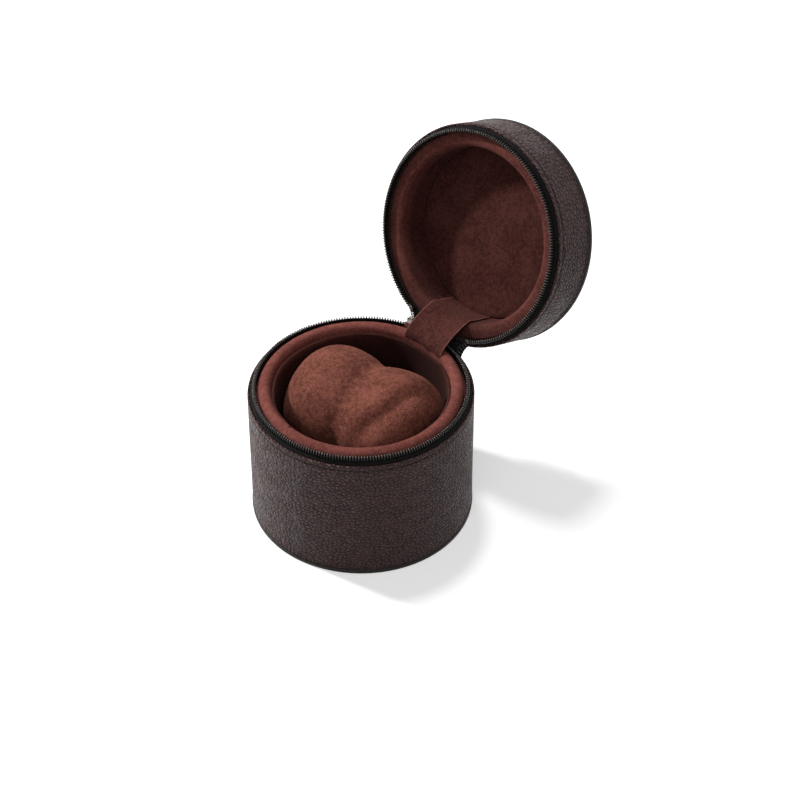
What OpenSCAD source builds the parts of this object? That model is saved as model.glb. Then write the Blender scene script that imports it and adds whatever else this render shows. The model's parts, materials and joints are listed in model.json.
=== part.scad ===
// Round zip-around travel case for one watch: a tall base, a shallow lid hinged
// at the back (+Y), a removable cushion, and a slider that runs round the rim.
// The case is drawn open. Origin: centre of the underside. +Z is up.

/* [Case] */
// Outer diameter over the leather
case_d = 100; // [90:1:110]
// Height of the base's leather wall
base_h = 63.9; // [58:0.1:72]
// Height of the lid's leather wall
lid_h = 23.6; // [20:0.1:30]
// Gap that the zip leaves between the two leather walls when the case is shut
zip_gap = 7.4; // [7.2:0.1:8]
// Angle that the lid stands open
open_angle = 111.7; // [95:0.1:115]
// Distance of the hinge line inside the outer surface
hinge_inset = 2.1; // [1.9:0.1:2.4]

/* [Walls] */
// Thickness of the leather
leather_t = 1.1; // [0.8:0.1:1.5]
// Thickness of the stiff board behind the leather
board_t = 2; // [1.5:0.1:2.5]
// Thickness of the suede lining with its backing
lining_t = 1.3; // [1:0.1:1.6]
// Step from the collar in to the base's lining
liner_step = 1.4; // [1.4:0.1:3]
// Height of the black binding along the outer edges
binding_h = 2.1; // [1.5:0.1:3]
// How far the binding stands out from the leather
binding_proud = 0.2; // [0.1:0.05:0.4]
// Distance from a leather wall's folded edge to its crease
crease_inset = 2.5; // [2:0.1:4]

/* [Collars] */
// Width of the base's padded collar, across the rim
collar_w = 5.6; // [4.5:0.1:6]
// Height of the base's collar above the base's leather
collar_rise = 3.6; // [3:0.1:3.8]
// Depth of the lid's collar below the lid's leather edge
lid_collar_drop = 0.3; // [0.2:0.1:1.5]
// Height of the padded part of each collar
collar_h = 9; // [7:0.5:12]
// Depth of the lining's lip below the collar's top
lip_drop = 2.9; // [2:0.1:4]
// Depth of the lid from its leather edge to its padded ceiling
lid_depth = 17; // [14:0.5:19]

/* [Zip] */
// Height of one row of the zip's coil
coil_h = 2.5; // [2:0.1:2.6]
// Width of one row of the zip's coil, across the rim
coil_w = 1.8; // [1.4:0.1:2]
// Gap between the two rows of coil when they meet
coil_gap = 0.8; // [0.8:0.1:1.2]
// Distance of the coil inside the outer surface of the leather
coil_inset = 2.1; // [2:0.1:2.4]
// Thickness of the zip's tape
tape_t = 0.5; // [0.4:0.1:0.6]
// Depth of the tape behind the leather
tape_depth = 8; // [6:0.5:12]
// Half of the angle at the back that the base's coil leaves free
base_zip_free = 9.5; // [9.4:0.1:10]
// Half of the angle at the back that the lid's coil leaves free
lid_zip_free = 22; // [21.8:0.1:24]
// Length of the metal clips at the ends of the coil
stop_l = 1.3; // [1:0.1:1.4]

/* [Slider and pull] */
// Length of the slider along the zip
slider_l = 7; // [6:0.1:7.5]
// Angle from the back to the parked slider's middle
slider_park = 14.4; // [14.2:0.1:15]
// Thickness of the slider's outer plate
plate_t = 0.9; // [0.7:0.05:1]
// Thickness of the slider's inner plate
inner_plate_t = 0.5; // [0.4:0.05:0.6]
// Running clearance round the zip
zip_clear = 0.2; // [0.15:0.01:0.25]
// Diameter of the wire that the crown and the link are made of
wire_d = 0.9; // [0.7:0.05:1]
// Distance between the wire centres at the link's top and bottom
link_l = 6.5; // [5.5:0.1:8]
// Outer width of the link
link_w = 6.4; // [5.5:0.1:7]
// Lean of the link away from the wall
link_lean = 7; // [6.5:0.5:9]
// Length of the leather pull tab
tab_l = 19; // [14:0.5:26]
// Width of the leather pull tab
tab_w = 7; // [6:0.5:9]
// Thickness of the leather pull tab
tab_t = 1.4; // [1:0.1:1.6]

/* [Hinge] */
// Half of the angle that the leather hinge strip spans
hinge_half = 7; // [6:0.5:7.3]
// Thickness of the leather hinge strip
hinge_t = 0.7; // [0.5:0.1:0.8]
// Width of the suede strap that covers the hinge inside
strap_w = 22.4; // [18:0.2:24]
// Distance of the strap's middle from the case's middle plane
strap_shift = 0.8; // [-1:0.1:1]
// Thickness of the suede strap
strap_t = 0.9; // [0.7:0.1:1.1]

/* [Cushion] */
// Clearance between each end of the cushion and the lining
cushion_gap = 2.5; // [2.4:0.1:6]
// Diameter of the cushion at its fullest
cushion_d = 51; // [46:1:54]
// How much the cushion narrows where the watch strap goes, as a share
cushion_waist = 0.1; // [0:0.01:0.2]
// Angle that the cushion is turned in the case
cushion_turn = 10; // [0:1:20]
// Shift of the cushion towards the hinge
cushion_shift = 2; // [0:0.5:3]
// Height of the padded floor that carries the cushion
floor_top = 22; // [16:0.5:23]
// Clearance of the soft cushion from the floor
soft_clear = 0.3; // [0.2:0.05:0.5]

/* [Hidden] */

round_fn = 180;
small_fn = 32;
leather_colour = [0.26, 0.21, 0.2];
suede_colour = [0.45, 0.24, 0.22];
black_colour = [0.07, 0.07, 0.07];
board_colour = [0.55, 0.5, 0.42];
foam_colour = [0.8, 0.78, 0.7];
metal_colour = [0.82, 0.82, 0.83];

case_r = case_d / 2;
leather_in = case_r - leather_t;
tape_in = leather_in - tape_t;
board_in = leather_in - board_t - tape_t;
binding_r = case_r + binding_proud;
coil_out = case_r - coil_inset;
coil_in = coil_out - coil_w;
coil_mid = (coil_in + coil_out) / 2;

seam_z = base_h + zip_gap / 2;              // plane where the two rows of coil meet
lid_z = base_h + zip_gap;                   // lid's leather edge, shut
top_z = lid_z + lid_h;                      // top of the shut case
hinge_y = case_r - hinge_inset;
tip_z = coil_gap / 2;                       // from the seam plane to the coil's tips
foot_z = tip_z + coil_h;                    // from the seam plane to the coil's feet

cover_t = 1.1;                              // leather on the bottom and on the top
board_disc_t = 2.2;                         // stiff discs at the bottom and at the top
bottom_board_top = cover_t + board_disc_t;
top_board_low = top_z - cover_t - board_disc_t;
pad_t = 3;                                  // padded floor and padded ceiling
ceiling_z = lid_z + lid_depth;
collar_top = base_h + collar_rise;
lid_collar_z = lid_z + lid_collar_drop;
inner_plate_in = coil_in - zip_clear - inner_plate_t;
collar_out = inner_plate_in - zip_clear;    // the slider's inner plate passes outside it
collar_r = collar_out - collar_w;           // inner radius of both padded collars
liner_r = collar_r - liner_step;
cushion_l = 2 * (liner_r - cushion_gap);
lid_collar_out = board_in;
foam_wall = 1.2;                            // suede around the collars' foam
crown_r = 2.3;                              // rounding of a collar's inner shoulder
shoulder_turn = 50;                         // where that rounding meets the slope to the zip
fold_r = leather_t / 2 - 0.02;              // rounding of a folded leather edge
crease_half = 1;                            // half the height of the wedge that cuts a crease
crease_depth = 0.25;
low_crease_inset = 1;                       // the lid wall's second crease, from its binding
fold_land = 1;                              // the board stops this far inside a folded leather edge
coil_land = 1.3;                            // the collar's slope starts this far over the leather edge
pad_fit = 0.1;                              // the padded discs are this much smaller than the lining

// ---- shared shapes ----

// Points of an arc in a cross-section, from angle a0 to a1
function arc(cx, cy, r, a0, a1, n = 8) =
  [for (i = [0:n]) let (a = a0 + (a1 - a0) * i / n) [cx + r * cos(a), cy + r * sin(a)]];

// Swings a shut lid part open about the hinge line
module opened() {
  translate([0, hinge_y, seam_z])
    rotate([-open_angle, 0, 0])
      translate([0, -hinge_y, -seam_z])
        children();
}

module tube(r_out, r_in, z0, z1) {
  difference() {
    translate([0, 0, z0]) cylinder(r = r_out, h = z1 - z0, $fn = round_fn);
    translate([0, 0, z0 - 1]) cylinder(r = r_in, h = z1 - z0 + 2, $fn = round_fn);
  }
}

module disc(r, z0, z1) {
  translate([0, 0, z0]) cylinder(r = r, h = z1 - z0, $fn = round_fn);
}

// Part of a ring that leaves an angle of 2 * free open at the back
module open_ring(free) {
  rotate([0, 0, 90 + free])
    rotate_extrude(angle = 360 - 2 * free, $fn = round_fn)
      children();
}

// Wall of leather with a folded, rounded edge at z_edge and a pressed crease below it.
// side is 1 where the edge is the wall's top and -1 where it is the wall's foot.
module leather_wall(z_end, z_edge, side, second_crease) {
  upper = z_edge - side * crease_inset;
  lower = z_end + side * low_crease_inset;
  creases = second_crease ? [upper, lower] : [upper];
  rotate_extrude($fn = round_fn)
    difference() {
      polygon(concat(
        [[leather_in, z_end], [case_r, z_end]],
        side > 0
          ? concat(arc(case_r - fold_r, z_edge - fold_r, fold_r, 0, 90),
                   arc(leather_in + fold_r, z_edge - fold_r, fold_r, 90, 180))
          : concat(arc(case_r - fold_r, z_edge + fold_r, fold_r, 0, -90),
                   arc(leather_in + fold_r, z_edge + fold_r, fold_r, -90, -180))
      ));
      for (z = creases)
        polygon([[case_r - crease_depth, z], [case_r + 1, z - crease_half], [case_r + 1, z + crease_half]]);
    }
}

// Binding round an outer edge at height z, turned in over the disc of leather.
// side is 1 where it stands up from z and -1 where it hangs down.
module binding(z, side) {
  rotate_extrude($fn = round_fn)
    polygon(concat(
      [[case_r - binding_h, z], [case_r - binding_h, z + side * cover_t],
       [leather_in, z + side * cover_t], [leather_in, z + side * binding_h]],
      [[binding_r, z + side * binding_h]],
      [for (p = arc(0, 0, fold_r, 0, 90)) [binding_r - fold_r + p[0], z + side * (fold_r - p[1])]]
    ));
}

// ---- base ----

module base_leather_wall() {
  color(leather_colour) leather_wall(binding_h, base_h, 1, false);
}

module base_wall_board() {
  color(board_colour)
    difference() {
      tube(leather_in, board_in, bottom_board_top, base_h - fold_land);
      tube(case_r, tape_in, base_h - tape_depth, base_h + 1);
    }
}

module base_bottom_board() {
  color(board_colour) disc(leather_in, cover_t, bottom_board_top);
}

module base_bottom_leather() {
  color(leather_colour) disc(case_r - binding_h, 0, cover_t);
}

// Piping round the foot, turned in under the base
module base_bottom_binding() {
  color(black_colour) binding(0, 1);
}

module base_wall_padding() {
  color(foam_colour)
    tube(board_in, liner_r + lining_t, bottom_board_top, collar_top - collar_h);
}

// Cross-section of the base's padded collar, inset by t
module base_collar_section(t) {
  in_r = collar_r + t;
  out_r = collar_out - t;
  low = collar_top - collar_h + t;
  polygon(concat(
    [[in_r, low], [board_in - t, low], [board_in - t, base_h - fold_land - t]],
    [[out_r, base_h - fold_land - t], [out_r, base_h + coil_land - t]],
    arc(collar_r + crown_r, collar_top - crown_r, crown_r - t, shoulder_turn, 180)
  ));
}

module base_collar() {
  color(suede_colour)
    difference() {
      rotate_extrude($fn = round_fn) base_collar_section(0);
      rotate_extrude($fn = round_fn) base_collar_section(foam_wall);
      strap_pocket();
    }
}

module base_collar_foam() {
  color(foam_colour)
    difference() {
      rotate_extrude($fn = round_fn) base_collar_section(foam_wall);
      strap_pocket();
    }
}

// Recess in the collar's inner side where the strap is tucked in
module strap_pocket() {
  pocket_r = strap_root_r + strap_t / 2 + strap_clear;
  low = collar_top - collar_h - 1;
  intersection() {
    disc(pocket_r, low, collar_top);
    translate([strap_shift - strap_w / 2 - strap_clear, 0, low])
      cube([strap_w + strap_clear * 2, case_r, collar_h + 1]);
  }
}

module base_liner() {
  lip_z = collar_top - lip_drop;
  lip_r = lining_t / 2;
  color(suede_colour)
    rotate_extrude($fn = round_fn)
      polygon(concat(
        [[liner_r, floor_top - pad_t], [liner_r + lining_t, floor_top - pad_t]],
        arc(liner_r + lip_r, lip_z - lip_r, lip_r, 0, 180)
      ));
}

// Block under the padded floor, which lifts the cushion to the rim
module base_seat_block() {
  color(foam_colour) disc(liner_r + lining_t - pad_fit, bottom_board_top, floor_top - pad_t);
}

module base_floor_pad() {
  color(suede_colour) disc(liner_r - pad_fit, floor_top - pad_t, floor_top);
}

// Tape: flat behind the leather, with a shelf turned in under the coil.
// side is -1 for the base's half and 1 for the lid's.
module tape_section(side) {
  edge_z = seam_z + side * foot_z;
  far_z = seam_z + side * (zip_gap / 2 + tape_depth);
  polygon([[coil_in, edge_z], [leather_in, edge_z], [leather_in, far_z], [tape_in, far_z],
           [tape_in, edge_z + side * tape_t], [coil_in, edge_z + side * tape_t]]);
}

module coil_section(side) {
  z_tip = seam_z + side * tip_z;
  z_foot = seam_z + side * foot_z;
  edge = 0.45;                              // rounding of the coil's tips
  polygon([[coil_in, z_foot], [coil_out, z_foot], [coil_out, z_tip + side * edge],
           [coil_out - edge, z_tip], [coil_in + edge, z_tip], [coil_in, z_tip + side * edge]]);
}

// Angle along the rim that a clip takes
stop_angle = (stop_l + 0.1) / coil_mid * 180 / PI;

module base_zip_tape() {
  color(black_colour) open_ring(base_zip_free - stop_angle) tape_section(-1);
}

module base_zip_coil() {
  color(black_colour) open_ring(base_zip_free) coil_section(-1);
}

// Two metal clips, one at each end of a row of coil
module zip_stops(free, side) {
  color(metal_colour)
    for (turn = [-1, 1])
      rotate([0, 0, turn * (free - stop_angle / 2)])
        translate([-stop_l / 2, coil_in, side > 0 ? seam_z + tip_z : seam_z - foot_z])
          cube([stop_l, coil_w, coil_h]);
}

module base_zip_stops() {
  zip_stops(base_zip_free, -1);
}

// ---- lid (each module is drawn shut and swung open) ----

module lid_leather_wall() {
  color(leather_colour) opened() leather_wall(top_z - binding_h, lid_z, -1, true);
}

module lid_wall_board() {
  color(board_colour)
    opened()
      difference() {
        tube(leather_in, board_in, lid_z + fold_land, top_board_low);
        tube(case_r, tape_in, lid_z - 1, lid_z + tape_depth);
      }
}

module lid_top_board() {
  color(board_colour) opened() disc(leather_in, top_board_low, top_z - cover_t);
}

module lid_top_leather() {
  color(leather_colour) opened() disc(case_r - binding_h, top_z - cover_t, top_z);
}

// Piping round the top edge
module lid_top_binding() {
  color(black_colour) opened() binding(top_z, -1);
}

module lid_wall_padding() {
  color(foam_colour)
    opened() tube(board_in, collar_r + lining_t, lid_collar_z + collar_h, top_board_low);
}

module lid_collar_section(t) {
  in_r = collar_r + t;
  far = lid_collar_z + collar_h - t;
  polygon(concat(
    arc(collar_r + crown_r, lid_collar_z + crown_r, crown_r - t, 180, 270),
    [[lid_collar_out - 1 - t, lid_collar_z + t], [lid_collar_out - t, lid_collar_z + 0.7 + t],
     [lid_collar_out - t, far], [in_r, far]]
  ));
}

module lid_collar() {
  color(suede_colour)
    opened()
      difference() {
        rotate_extrude($fn = round_fn) lid_collar_section(0);
        rotate_extrude($fn = round_fn) lid_collar_section(foam_wall);
      }
}

module lid_collar_foam() {
  color(foam_colour) opened() rotate_extrude($fn = round_fn) lid_collar_section(foam_wall);
}

module lid_liner() {
  color(suede_colour)
    opened() tube(collar_r + lining_t, collar_r, lid_collar_z + collar_h, top_board_low);
}

module lid_ceiling_pad() {
  color(suede_colour) opened() disc(collar_r - pad_fit, ceiling_z, top_board_low);
}

module lid_zip_tape() {
  color(black_colour) opened() open_ring(lid_zip_free - stop_angle) tape_section(1);
}

module lid_zip_coil() {
  color(black_colour) opened() open_ring(lid_zip_free) coil_section(1);
}

module lid_zip_stops() {
  opened() zip_stops(lid_zip_free, 1);
}

// ---- hinge ----

// Position that a point of the shut lid has when the lid is open
function swing(y, z) = [
  hinge_y + (y - hinge_y) * cos(open_angle) + (z - seam_z) * sin(open_angle),
  seam_z - (y - hinge_y) * sin(open_angle) + (z - seam_z) * cos(open_angle)
];

// Solid between two grids of points: the face grid and the back grid
module shell_between(face, back) {
  rows = len(face);
  cols = len(face[0]);
  grid = rows * cols;
  points = concat([for (row = face) each row], [for (row = back) each row]);
  function at(i, j, layer) = layer * grid + i * cols + j;
  skin = [for (i = [0:rows - 2], j = [0:cols - 2])
    each [[at(i, j, 0), at(i, j + 1, 0), at(i + 1, j + 1, 0)],
          [at(i, j, 0), at(i + 1, j + 1, 0), at(i + 1, j, 0)],
          [at(i, j, 1), at(i + 1, j + 1, 1), at(i, j + 1, 1)],
          [at(i, j, 1), at(i + 1, j, 1), at(i + 1, j + 1, 1)]]];
  ends = [for (j = [0:cols - 2])
    each [[at(0, j, 0), at(0, j + 1, 1), at(0, j + 1, 0)],
          [at(0, j, 0), at(0, j, 1), at(0, j + 1, 1)],
          [at(rows - 1, j, 0), at(rows - 1, j + 1, 0), at(rows - 1, j + 1, 1)],
          [at(rows - 1, j, 0), at(rows - 1, j + 1, 1), at(rows - 1, j, 1)]]];
  sides = [for (i = [0:rows - 2])
    each [[at(i, 0, 0), at(i + 1, 0, 0), at(i + 1, 0, 1)],
          [at(i, 0, 0), at(i + 1, 0, 1), at(i, 0, 1)],
          [at(i, cols - 1, 0), at(i + 1, cols - 1, 1), at(i + 1, cols - 1, 0)],
          [at(i, cols - 1, 0), at(i, cols - 1, 1), at(i + 1, cols - 1, 1)]]];
  polyhedron(points = points, faces = concat(skin, ends, sides), convexity = 6);
}

// Leather strip at the back. In cross-section it leaves the inside of the base's
// leather upwards, turns through the open angle and runs into the lid's leather.
hinge_steps = 12;
hinge_cols = 8;
hinge_skin = 0.05;                          // between the strip and the leather walls
hinge_end = 0.95;                           // the strip ends this far above the lid's folded edge
hinge_bend = 1.2;                           // radius of its turn in the middle
hinge_widen = 1.4;                          // how much that radius grows towards its two sides
function hinge_path(x, off) =
  let (
    r = leather_in - hinge_t / 2 - hinge_skin,
    a = [sqrt(r * r - x * x), base_h - fold_land],
    b = swing(a[0], lid_z + hinge_end),
    out = [sin(open_angle), cos(open_angle)],
    bend = hinge_bend + hinge_widen * pow(x / (case_r * sin(hinge_half)), 2),
    run_b = (b[0] - a[0] - bend * (1 - cos(open_angle))) / out[0],
    run_a = b[1] - a[1] - bend * sin(open_angle) - run_b * out[1],
    turn = [for (i = [0:hinge_steps]) let (t = open_angle * i / hinge_steps)
      [a[0] + bend - (bend + off) * cos(t), a[1] + run_a + (bend + off) * sin(t)]]
  )
  concat([[a[0] - off, a[1]]], turn,
         [[b[0] - off * cos(open_angle), b[1] + off * sin(open_angle)]]);

module hinge_leather() {
  xs = [for (j = [0:hinge_cols]) (j / hinge_cols * 2 - 1) * case_r * sin(hinge_half)];
  function face(off) =
    let (paths = [for (x = xs) hinge_path(x, off)])
    [for (i = [0:len(paths[0]) - 1])
      [for (j = [0:hinge_cols]) [xs[j], paths[j][i][0], paths[j][i][1]]]];
  color(leather_colour) shell_between(face(-hinge_t / 2), face(hinge_t / 2));
}

// Suede strap: from its pocket behind the lining, over the base's collar, across the
// hinge, over the lid's collar and down the lid's wall to the ceiling.
strap_clear = 0.35;                         // between the strap and the collars
strap_skin = 0.15;                          // between the strap and the linings that it lies on
strap_rise = 3.2;                           // pull of its curve straight up out of the pocket
strap_reach = [6, 0.6];                     // pull of its curve as it comes to its crest
strap_turn = 2.2;                           // pull of its curve over the lid's collar
strap_lands = 5.5;                          // it meets the lid's wall this far behind the collar's face
strap_root_r = liner_r + lining_t + strap_skin + strap_t / 2;
strap_steps = 32;
strap_cols = 10;
lid_wall_r = collar_r - strap_t / 2 - strap_skin;
strap_low = [strap_root_r, collar_top - collar_h + 0.5];
strap_mouth = [strap_root_r, collar_top - 1.2];
strap_crest = swing(collar_r + crown_r, lid_collar_z + crown_r)
  + [-0.2, crown_r + strap_t / 2 + strap_clear];
strap_wall = swing(lid_wall_r, lid_collar_z + strap_lands);
strap_end = swing(lid_wall_r, ceiling_z - 0.2);
strap_down = (strap_end - strap_wall) / norm(strap_end - strap_wall);
function bezier(a, b, c, d, t) =
  pow(1 - t, 3) * a + 3 * pow(1 - t, 2) * t * b + 3 * (1 - t) * t * t * c + pow(t, 3) * d;
// The strap's middle line: 0 to 1 in the pocket, 1 to 2 over the hinge to its crest,
// 2 to 3 down to the lid's wall, 3 to 4 along that wall
function strap_line(s) =
  s <= 1 ? strap_low + (strap_mouth - strap_low) * s
  : s <= 2 ? bezier(strap_mouth, strap_mouth + [0, strap_rise],
                    strap_crest - strap_reach, strap_crest, s - 1)
  : s <= 3 ? bezier(strap_crest, strap_crest + [strap_turn, 0.2],
                    strap_wall - strap_down * strap_turn, strap_wall, s - 2)
  : strap_wall + (strap_end - strap_wall) * (s - 3);
function strap_normal(s) =
  let (d = strap_line(min(4, s + 0.01)) - strap_line(max(0, s - 0.01))) [-d[1], d[0]] / norm(d);
// The round collars push the strap's sides towards the middle of the case
function strap_bow(x, s) =
  let (
    r = s < 1.5 ? strap_root_r : lid_wall_r,
    over = min(1, max(0, s - 1)),
    a = 180 - open_angle * over
  )
  [cos(a), sin(a)] * (r - sqrt(r * r - x * x)) * (1 - 0.2 * sin(180 * over));
function strap_point(x, s, off) =
  let (p = strap_line(s) + strap_bow(x, s) + strap_normal(s) * off) [x, p[0], p[1]];

module hinge_strap() {
  xs = [for (j = [0:strap_cols]) strap_shift + (j / strap_cols - 0.5) * strap_w];
  function grid(off) =
    [for (i = [0:strap_steps]) [for (x = xs) strap_point(x, 4 * i / strap_steps, off)]];
  color(suede_colour) shell_between(grid(-strap_t / 2), grid(strap_t / 2));
}

// ---- cushion ----

// Half section of the cushion: domed ends and a slightly narrower middle
module cushion_section(inset) {
  half = cushion_l / 2 - inset;
  steps = 30;
  round_power = 2.7;                        // 2 is an ellipse, more is fuller at the ends
  waist_l = 15;                             // half length of the narrower middle
  xs = [for (i = [1:steps - 1]) half * sin(-90 + 180 * i / steps)];
  function profile(x) =
    pow(1 - pow(abs(x / half), round_power), 1 / round_power)
    * (1 - cushion_waist * exp(-pow(x / waist_l, 2)));
  fullest = max([for (x = xs) profile(x)]);
  polygon(concat(
    [[0, -half]],
    [for (x = xs) [(cushion_d / 2 - inset) * profile(x) / fullest, x]],
    [[0, half]]
  ));
}

module cushion_form(inset) {
  translate([0, cushion_shift, floor_top + cushion_d / 2])
    rotate([0, 0, cushion_turn])
      rotate([0, 90, 0])
        rotate_extrude($fn = 96) cushion_section(inset);
}

module cushion_cover() {
  color(suede_colour)
    difference() {
      cushion_form(0);
      cushion_form(foam_wall);
      disc(case_r, 0, floor_top + soft_clear);
    }
}

module cushion_core() {
  color(foam_colour) cushion_form(foam_wall);
}

// ---- slider and pull (drawn at the front of their own frame: +Y is outwards) ----

module at_slider() {
  rotate([0, 0, slider_park]) children();
}

plate_low = coil_out + zip_clear;           // inner face of the outer plate
plate_out = plate_low + plate_t;
plate_half = foot_z - 0.25;                 // half height of the outer plate at its nose
link_y = case_r + 0.2 + wire_d / 2;         // the link's top wire just clears the leather
crown_in = link_y + wire_d / 2 + 0.1;
crown_out = crown_in + wire_d * 0.8;

// A curved plate of the slider: narrow at the tail (+X) and wide at the nose (-X)
module slider_plate(r_in, t, tail_half, nose_half) {
  half_l = slider_l / 2;
  corner_l = slider_l / 5;                  // length of the chamfers at the nose
  nose_end = nose_half * 0.75;
  intersection() {
    tube(r_in + t, r_in, seam_z - nose_half, seam_z + nose_half);
    translate([0, case_r * 2, seam_z])
      rotate([90, 0, 0])
        linear_extrude(height = case_r * 2)
          polygon([[half_l, -tail_half], [half_l, tail_half], [0, tail_half],
                   [corner_l - half_l, nose_half], [-half_l, nose_end], [-half_l, -nose_end],
                   [corner_l - half_l, -nose_half], [0, -tail_half]]);
  }
}

module slider_body() {
  neck_l = 2.2;                             // the neck between the plates parts the two rows of coil
  neck_half = tip_z - zip_clear;
  tail_half = 1.9;
  color(metal_colour)
    at_slider() {
      slider_plate(plate_low, plate_t, tail_half, plate_half);
      slider_plate(inner_plate_in, inner_plate_t, tail_half - 0.4, tail_half);
      translate([0.4 - slider_l / 2, inner_plate_in + inner_plate_t / 2, seam_z - neck_half])
        cube([neck_l, plate_low - inner_plate_in, neck_half * 2]);
    }
}

// Bridge over the link's top wire, standing across the slider's outer plate
module slider_crown() {
  crown_w = 1.6;
  inner_half = wire_d / 2 + 0.35;
  outer_half = inner_half + wire_d * 0.7;
  corner = 0.5;
  module rounded(half, far, r) {
    translate([0, -half]) square([far - r, half * 2]);
    translate([0, -half + r]) square([far, half * 2 - r * 2]);
    for (side = [-1, 1])
      translate([far - r, side * (half - r)]) circle(r = r, $fn = small_fn);
  }
  color(metal_colour)
    at_slider() difference() {
      translate([-crown_w / 2, plate_low + plate_t / 2, seam_z])
        rotate([90, 0, 90])
          linear_extrude(height = crown_w)
            difference() {
              rounded(outer_half, crown_out - plate_low - plate_t / 2, corner + 0.4);
              translate([-1, 0]) rounded(inner_half, crown_in - plate_low - plate_t / 2 + 1, corner);
            }
      disc(plate_out, seam_z - case_r, seam_z + case_r);
    }
}

module wire(l) {
  cylinder(d = wire_d, h = l, center = true, $fn = small_fn);
}

module pull_link() {
  half_w = (link_w - wire_d) / 2;
  color(metal_colour)
    at_slider()
      translate([0, link_y, seam_z])
        rotate([link_lean, 0, 0]) {
          for (z = [0, -link_l])
            translate([0, 0, z]) rotate([0, 90, 0]) wire(half_w * 2);
          for (side = [-1, 1])
            translate([side * half_w, 0, -link_l / 2]) wire(link_l);
          for (side = [-1, 1], z = [0, -link_l])
            translate([side * half_w, 0, z]) sphere(d = wire_d, $fn = small_fn);
        }
}

tab_y = link_y + link_l * sin(link_lean);
tab_z = seam_z - link_l * cos(link_lean);
eye_r = wire_d / 2 + 0.7;
eye_clear = 0.06;
tab_back = tab_y - tab_t / 2 + 0.08;        // the tab hangs from the link, clear of the leather
rivet_z = tab_z - eye_r - 2.4;
rivet_r = 1.1;
eye_w = link_w - wire_d * 2 - 0.5;

// Round bar along the link's lower wire
module tab_eye(r, w) {
  translate([0, tab_y, tab_z])
    rotate([0, 90, 0]) cylinder(r = r, h = w, center = true, $fn = small_fn);
}

module pull_tab() {
  tab_end = tab_z - eye_r - tab_l;
  color(leather_colour)
    at_slider()
      difference() {
        union() {
          tab_eye(eye_r, eye_w);
          translate([-eye_w / 2, tab_back, tab_z - eye_r - 1])
            cube([eye_w, tab_t, eye_r + 1]);
          translate([-tab_w / 2, tab_back, tab_end + tab_w / 2])
            cube([tab_w, tab_t, tab_l - tab_w / 2]);
          translate([0, tab_back, tab_end + tab_w / 2])
            rotate([-90, 0, 0]) cylinder(d = tab_w, h = tab_t, $fn = 64);
        }
        tab_eye(wire_d / 2 + eye_clear, link_w);
        rivet_form();
      }
}

// Rivet through both layers of the tab, standing out a little at each side
module rivet_form() {
  head = 0.2;
  translate([0, tab_back - head, rivet_z])
    rotate([-90, 0, 0]) cylinder(r = rivet_r, h = tab_t + head * 2, $fn = small_fn);
}

module pull_rivet() {
  color(metal_colour) at_slider() rivet_form();
}

base_leather_wall();
base_wall_board();
base_bottom_board();
base_bottom_leather();
base_bottom_binding();
base_wall_padding();
base_collar();
base_collar_foam();
base_liner();
base_seat_block();
base_floor_pad();
base_zip_tape();
base_zip_coil();
base_zip_stops();
lid_leather_wall();
lid_wall_board();
lid_top_board();
lid_top_leather();
lid_top_binding();
lid_wall_padding();
lid_collar();
lid_collar_foam();
lid_liner();
lid_ceiling_pad();
lid_zip_tape();
lid_zip_coil();
lid_zip_stops();
hinge_leather();
hinge_strap();
cushion_cover();
cushion_core();
slider_body();
slider_crown();
pull_link();
pull_tab();
pull_rivet();
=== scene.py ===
import json
from math import ceil, cos, exp, hypot, pi, radians, sin, sqrt, tanh

import bmesh
import bpy
from mathutils import Matrix, Vector, noise


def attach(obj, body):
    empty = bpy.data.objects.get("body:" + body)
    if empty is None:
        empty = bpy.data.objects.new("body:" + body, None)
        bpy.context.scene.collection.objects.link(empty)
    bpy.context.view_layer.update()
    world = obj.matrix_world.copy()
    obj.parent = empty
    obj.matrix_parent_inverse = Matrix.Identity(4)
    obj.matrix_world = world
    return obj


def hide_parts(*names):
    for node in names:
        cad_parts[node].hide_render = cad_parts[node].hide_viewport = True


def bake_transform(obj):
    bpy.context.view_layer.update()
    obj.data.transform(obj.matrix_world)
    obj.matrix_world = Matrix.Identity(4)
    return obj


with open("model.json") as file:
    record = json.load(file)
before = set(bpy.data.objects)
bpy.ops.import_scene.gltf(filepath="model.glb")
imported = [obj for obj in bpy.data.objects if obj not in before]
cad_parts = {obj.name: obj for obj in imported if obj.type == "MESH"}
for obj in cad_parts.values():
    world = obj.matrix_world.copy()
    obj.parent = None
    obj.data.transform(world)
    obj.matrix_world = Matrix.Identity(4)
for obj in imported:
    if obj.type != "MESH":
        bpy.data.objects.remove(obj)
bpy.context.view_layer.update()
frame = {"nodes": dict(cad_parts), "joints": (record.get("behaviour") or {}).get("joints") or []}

mm = 0.001
scene = bpy.context.scene
scene.view_settings.view_transform = "Standard"

# camera

cameraSetup = {
    "azimuth": 43.64, "elevation": 41.32,  # degrees round the case, 0 looks along +Y
    "target": (13.82, 10.38, 60.0), "distance": 1056.0,  # mm
    "lens": 108.0, "sensor": 36.0, "near": 0.05, "far": 50.0,
}


def addObject(name, data):
    obj = bpy.data.objects.new(name, data)
    scene.collection.objects.link(obj)
    return obj


def turnTo(obj, axis, direction):  # points the object's own axis along a direction
    obj.rotation_mode = "QUATERNION"
    obj.rotation_quaternion = direction.to_track_quat(axis, "Y")


def makeCamera(s):
    a, e = radians(s["azimuth"]), radians(s["elevation"])
    back = Vector((sin(a) * cos(e), -cos(a) * cos(e), sin(e)))
    data = bpy.data.cameras.new("camera")
    data.lens, data.sensor_width = s["lens"], s["sensor"]
    data.clip_start, data.clip_end = s["near"], s["far"]
    scene.camera = addObject("camera", data)
    scene.camera.location = (Vector(s["target"]) + back * s["distance"]) * mm
    turnTo(scene.camera, "-Z", -back)


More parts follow.
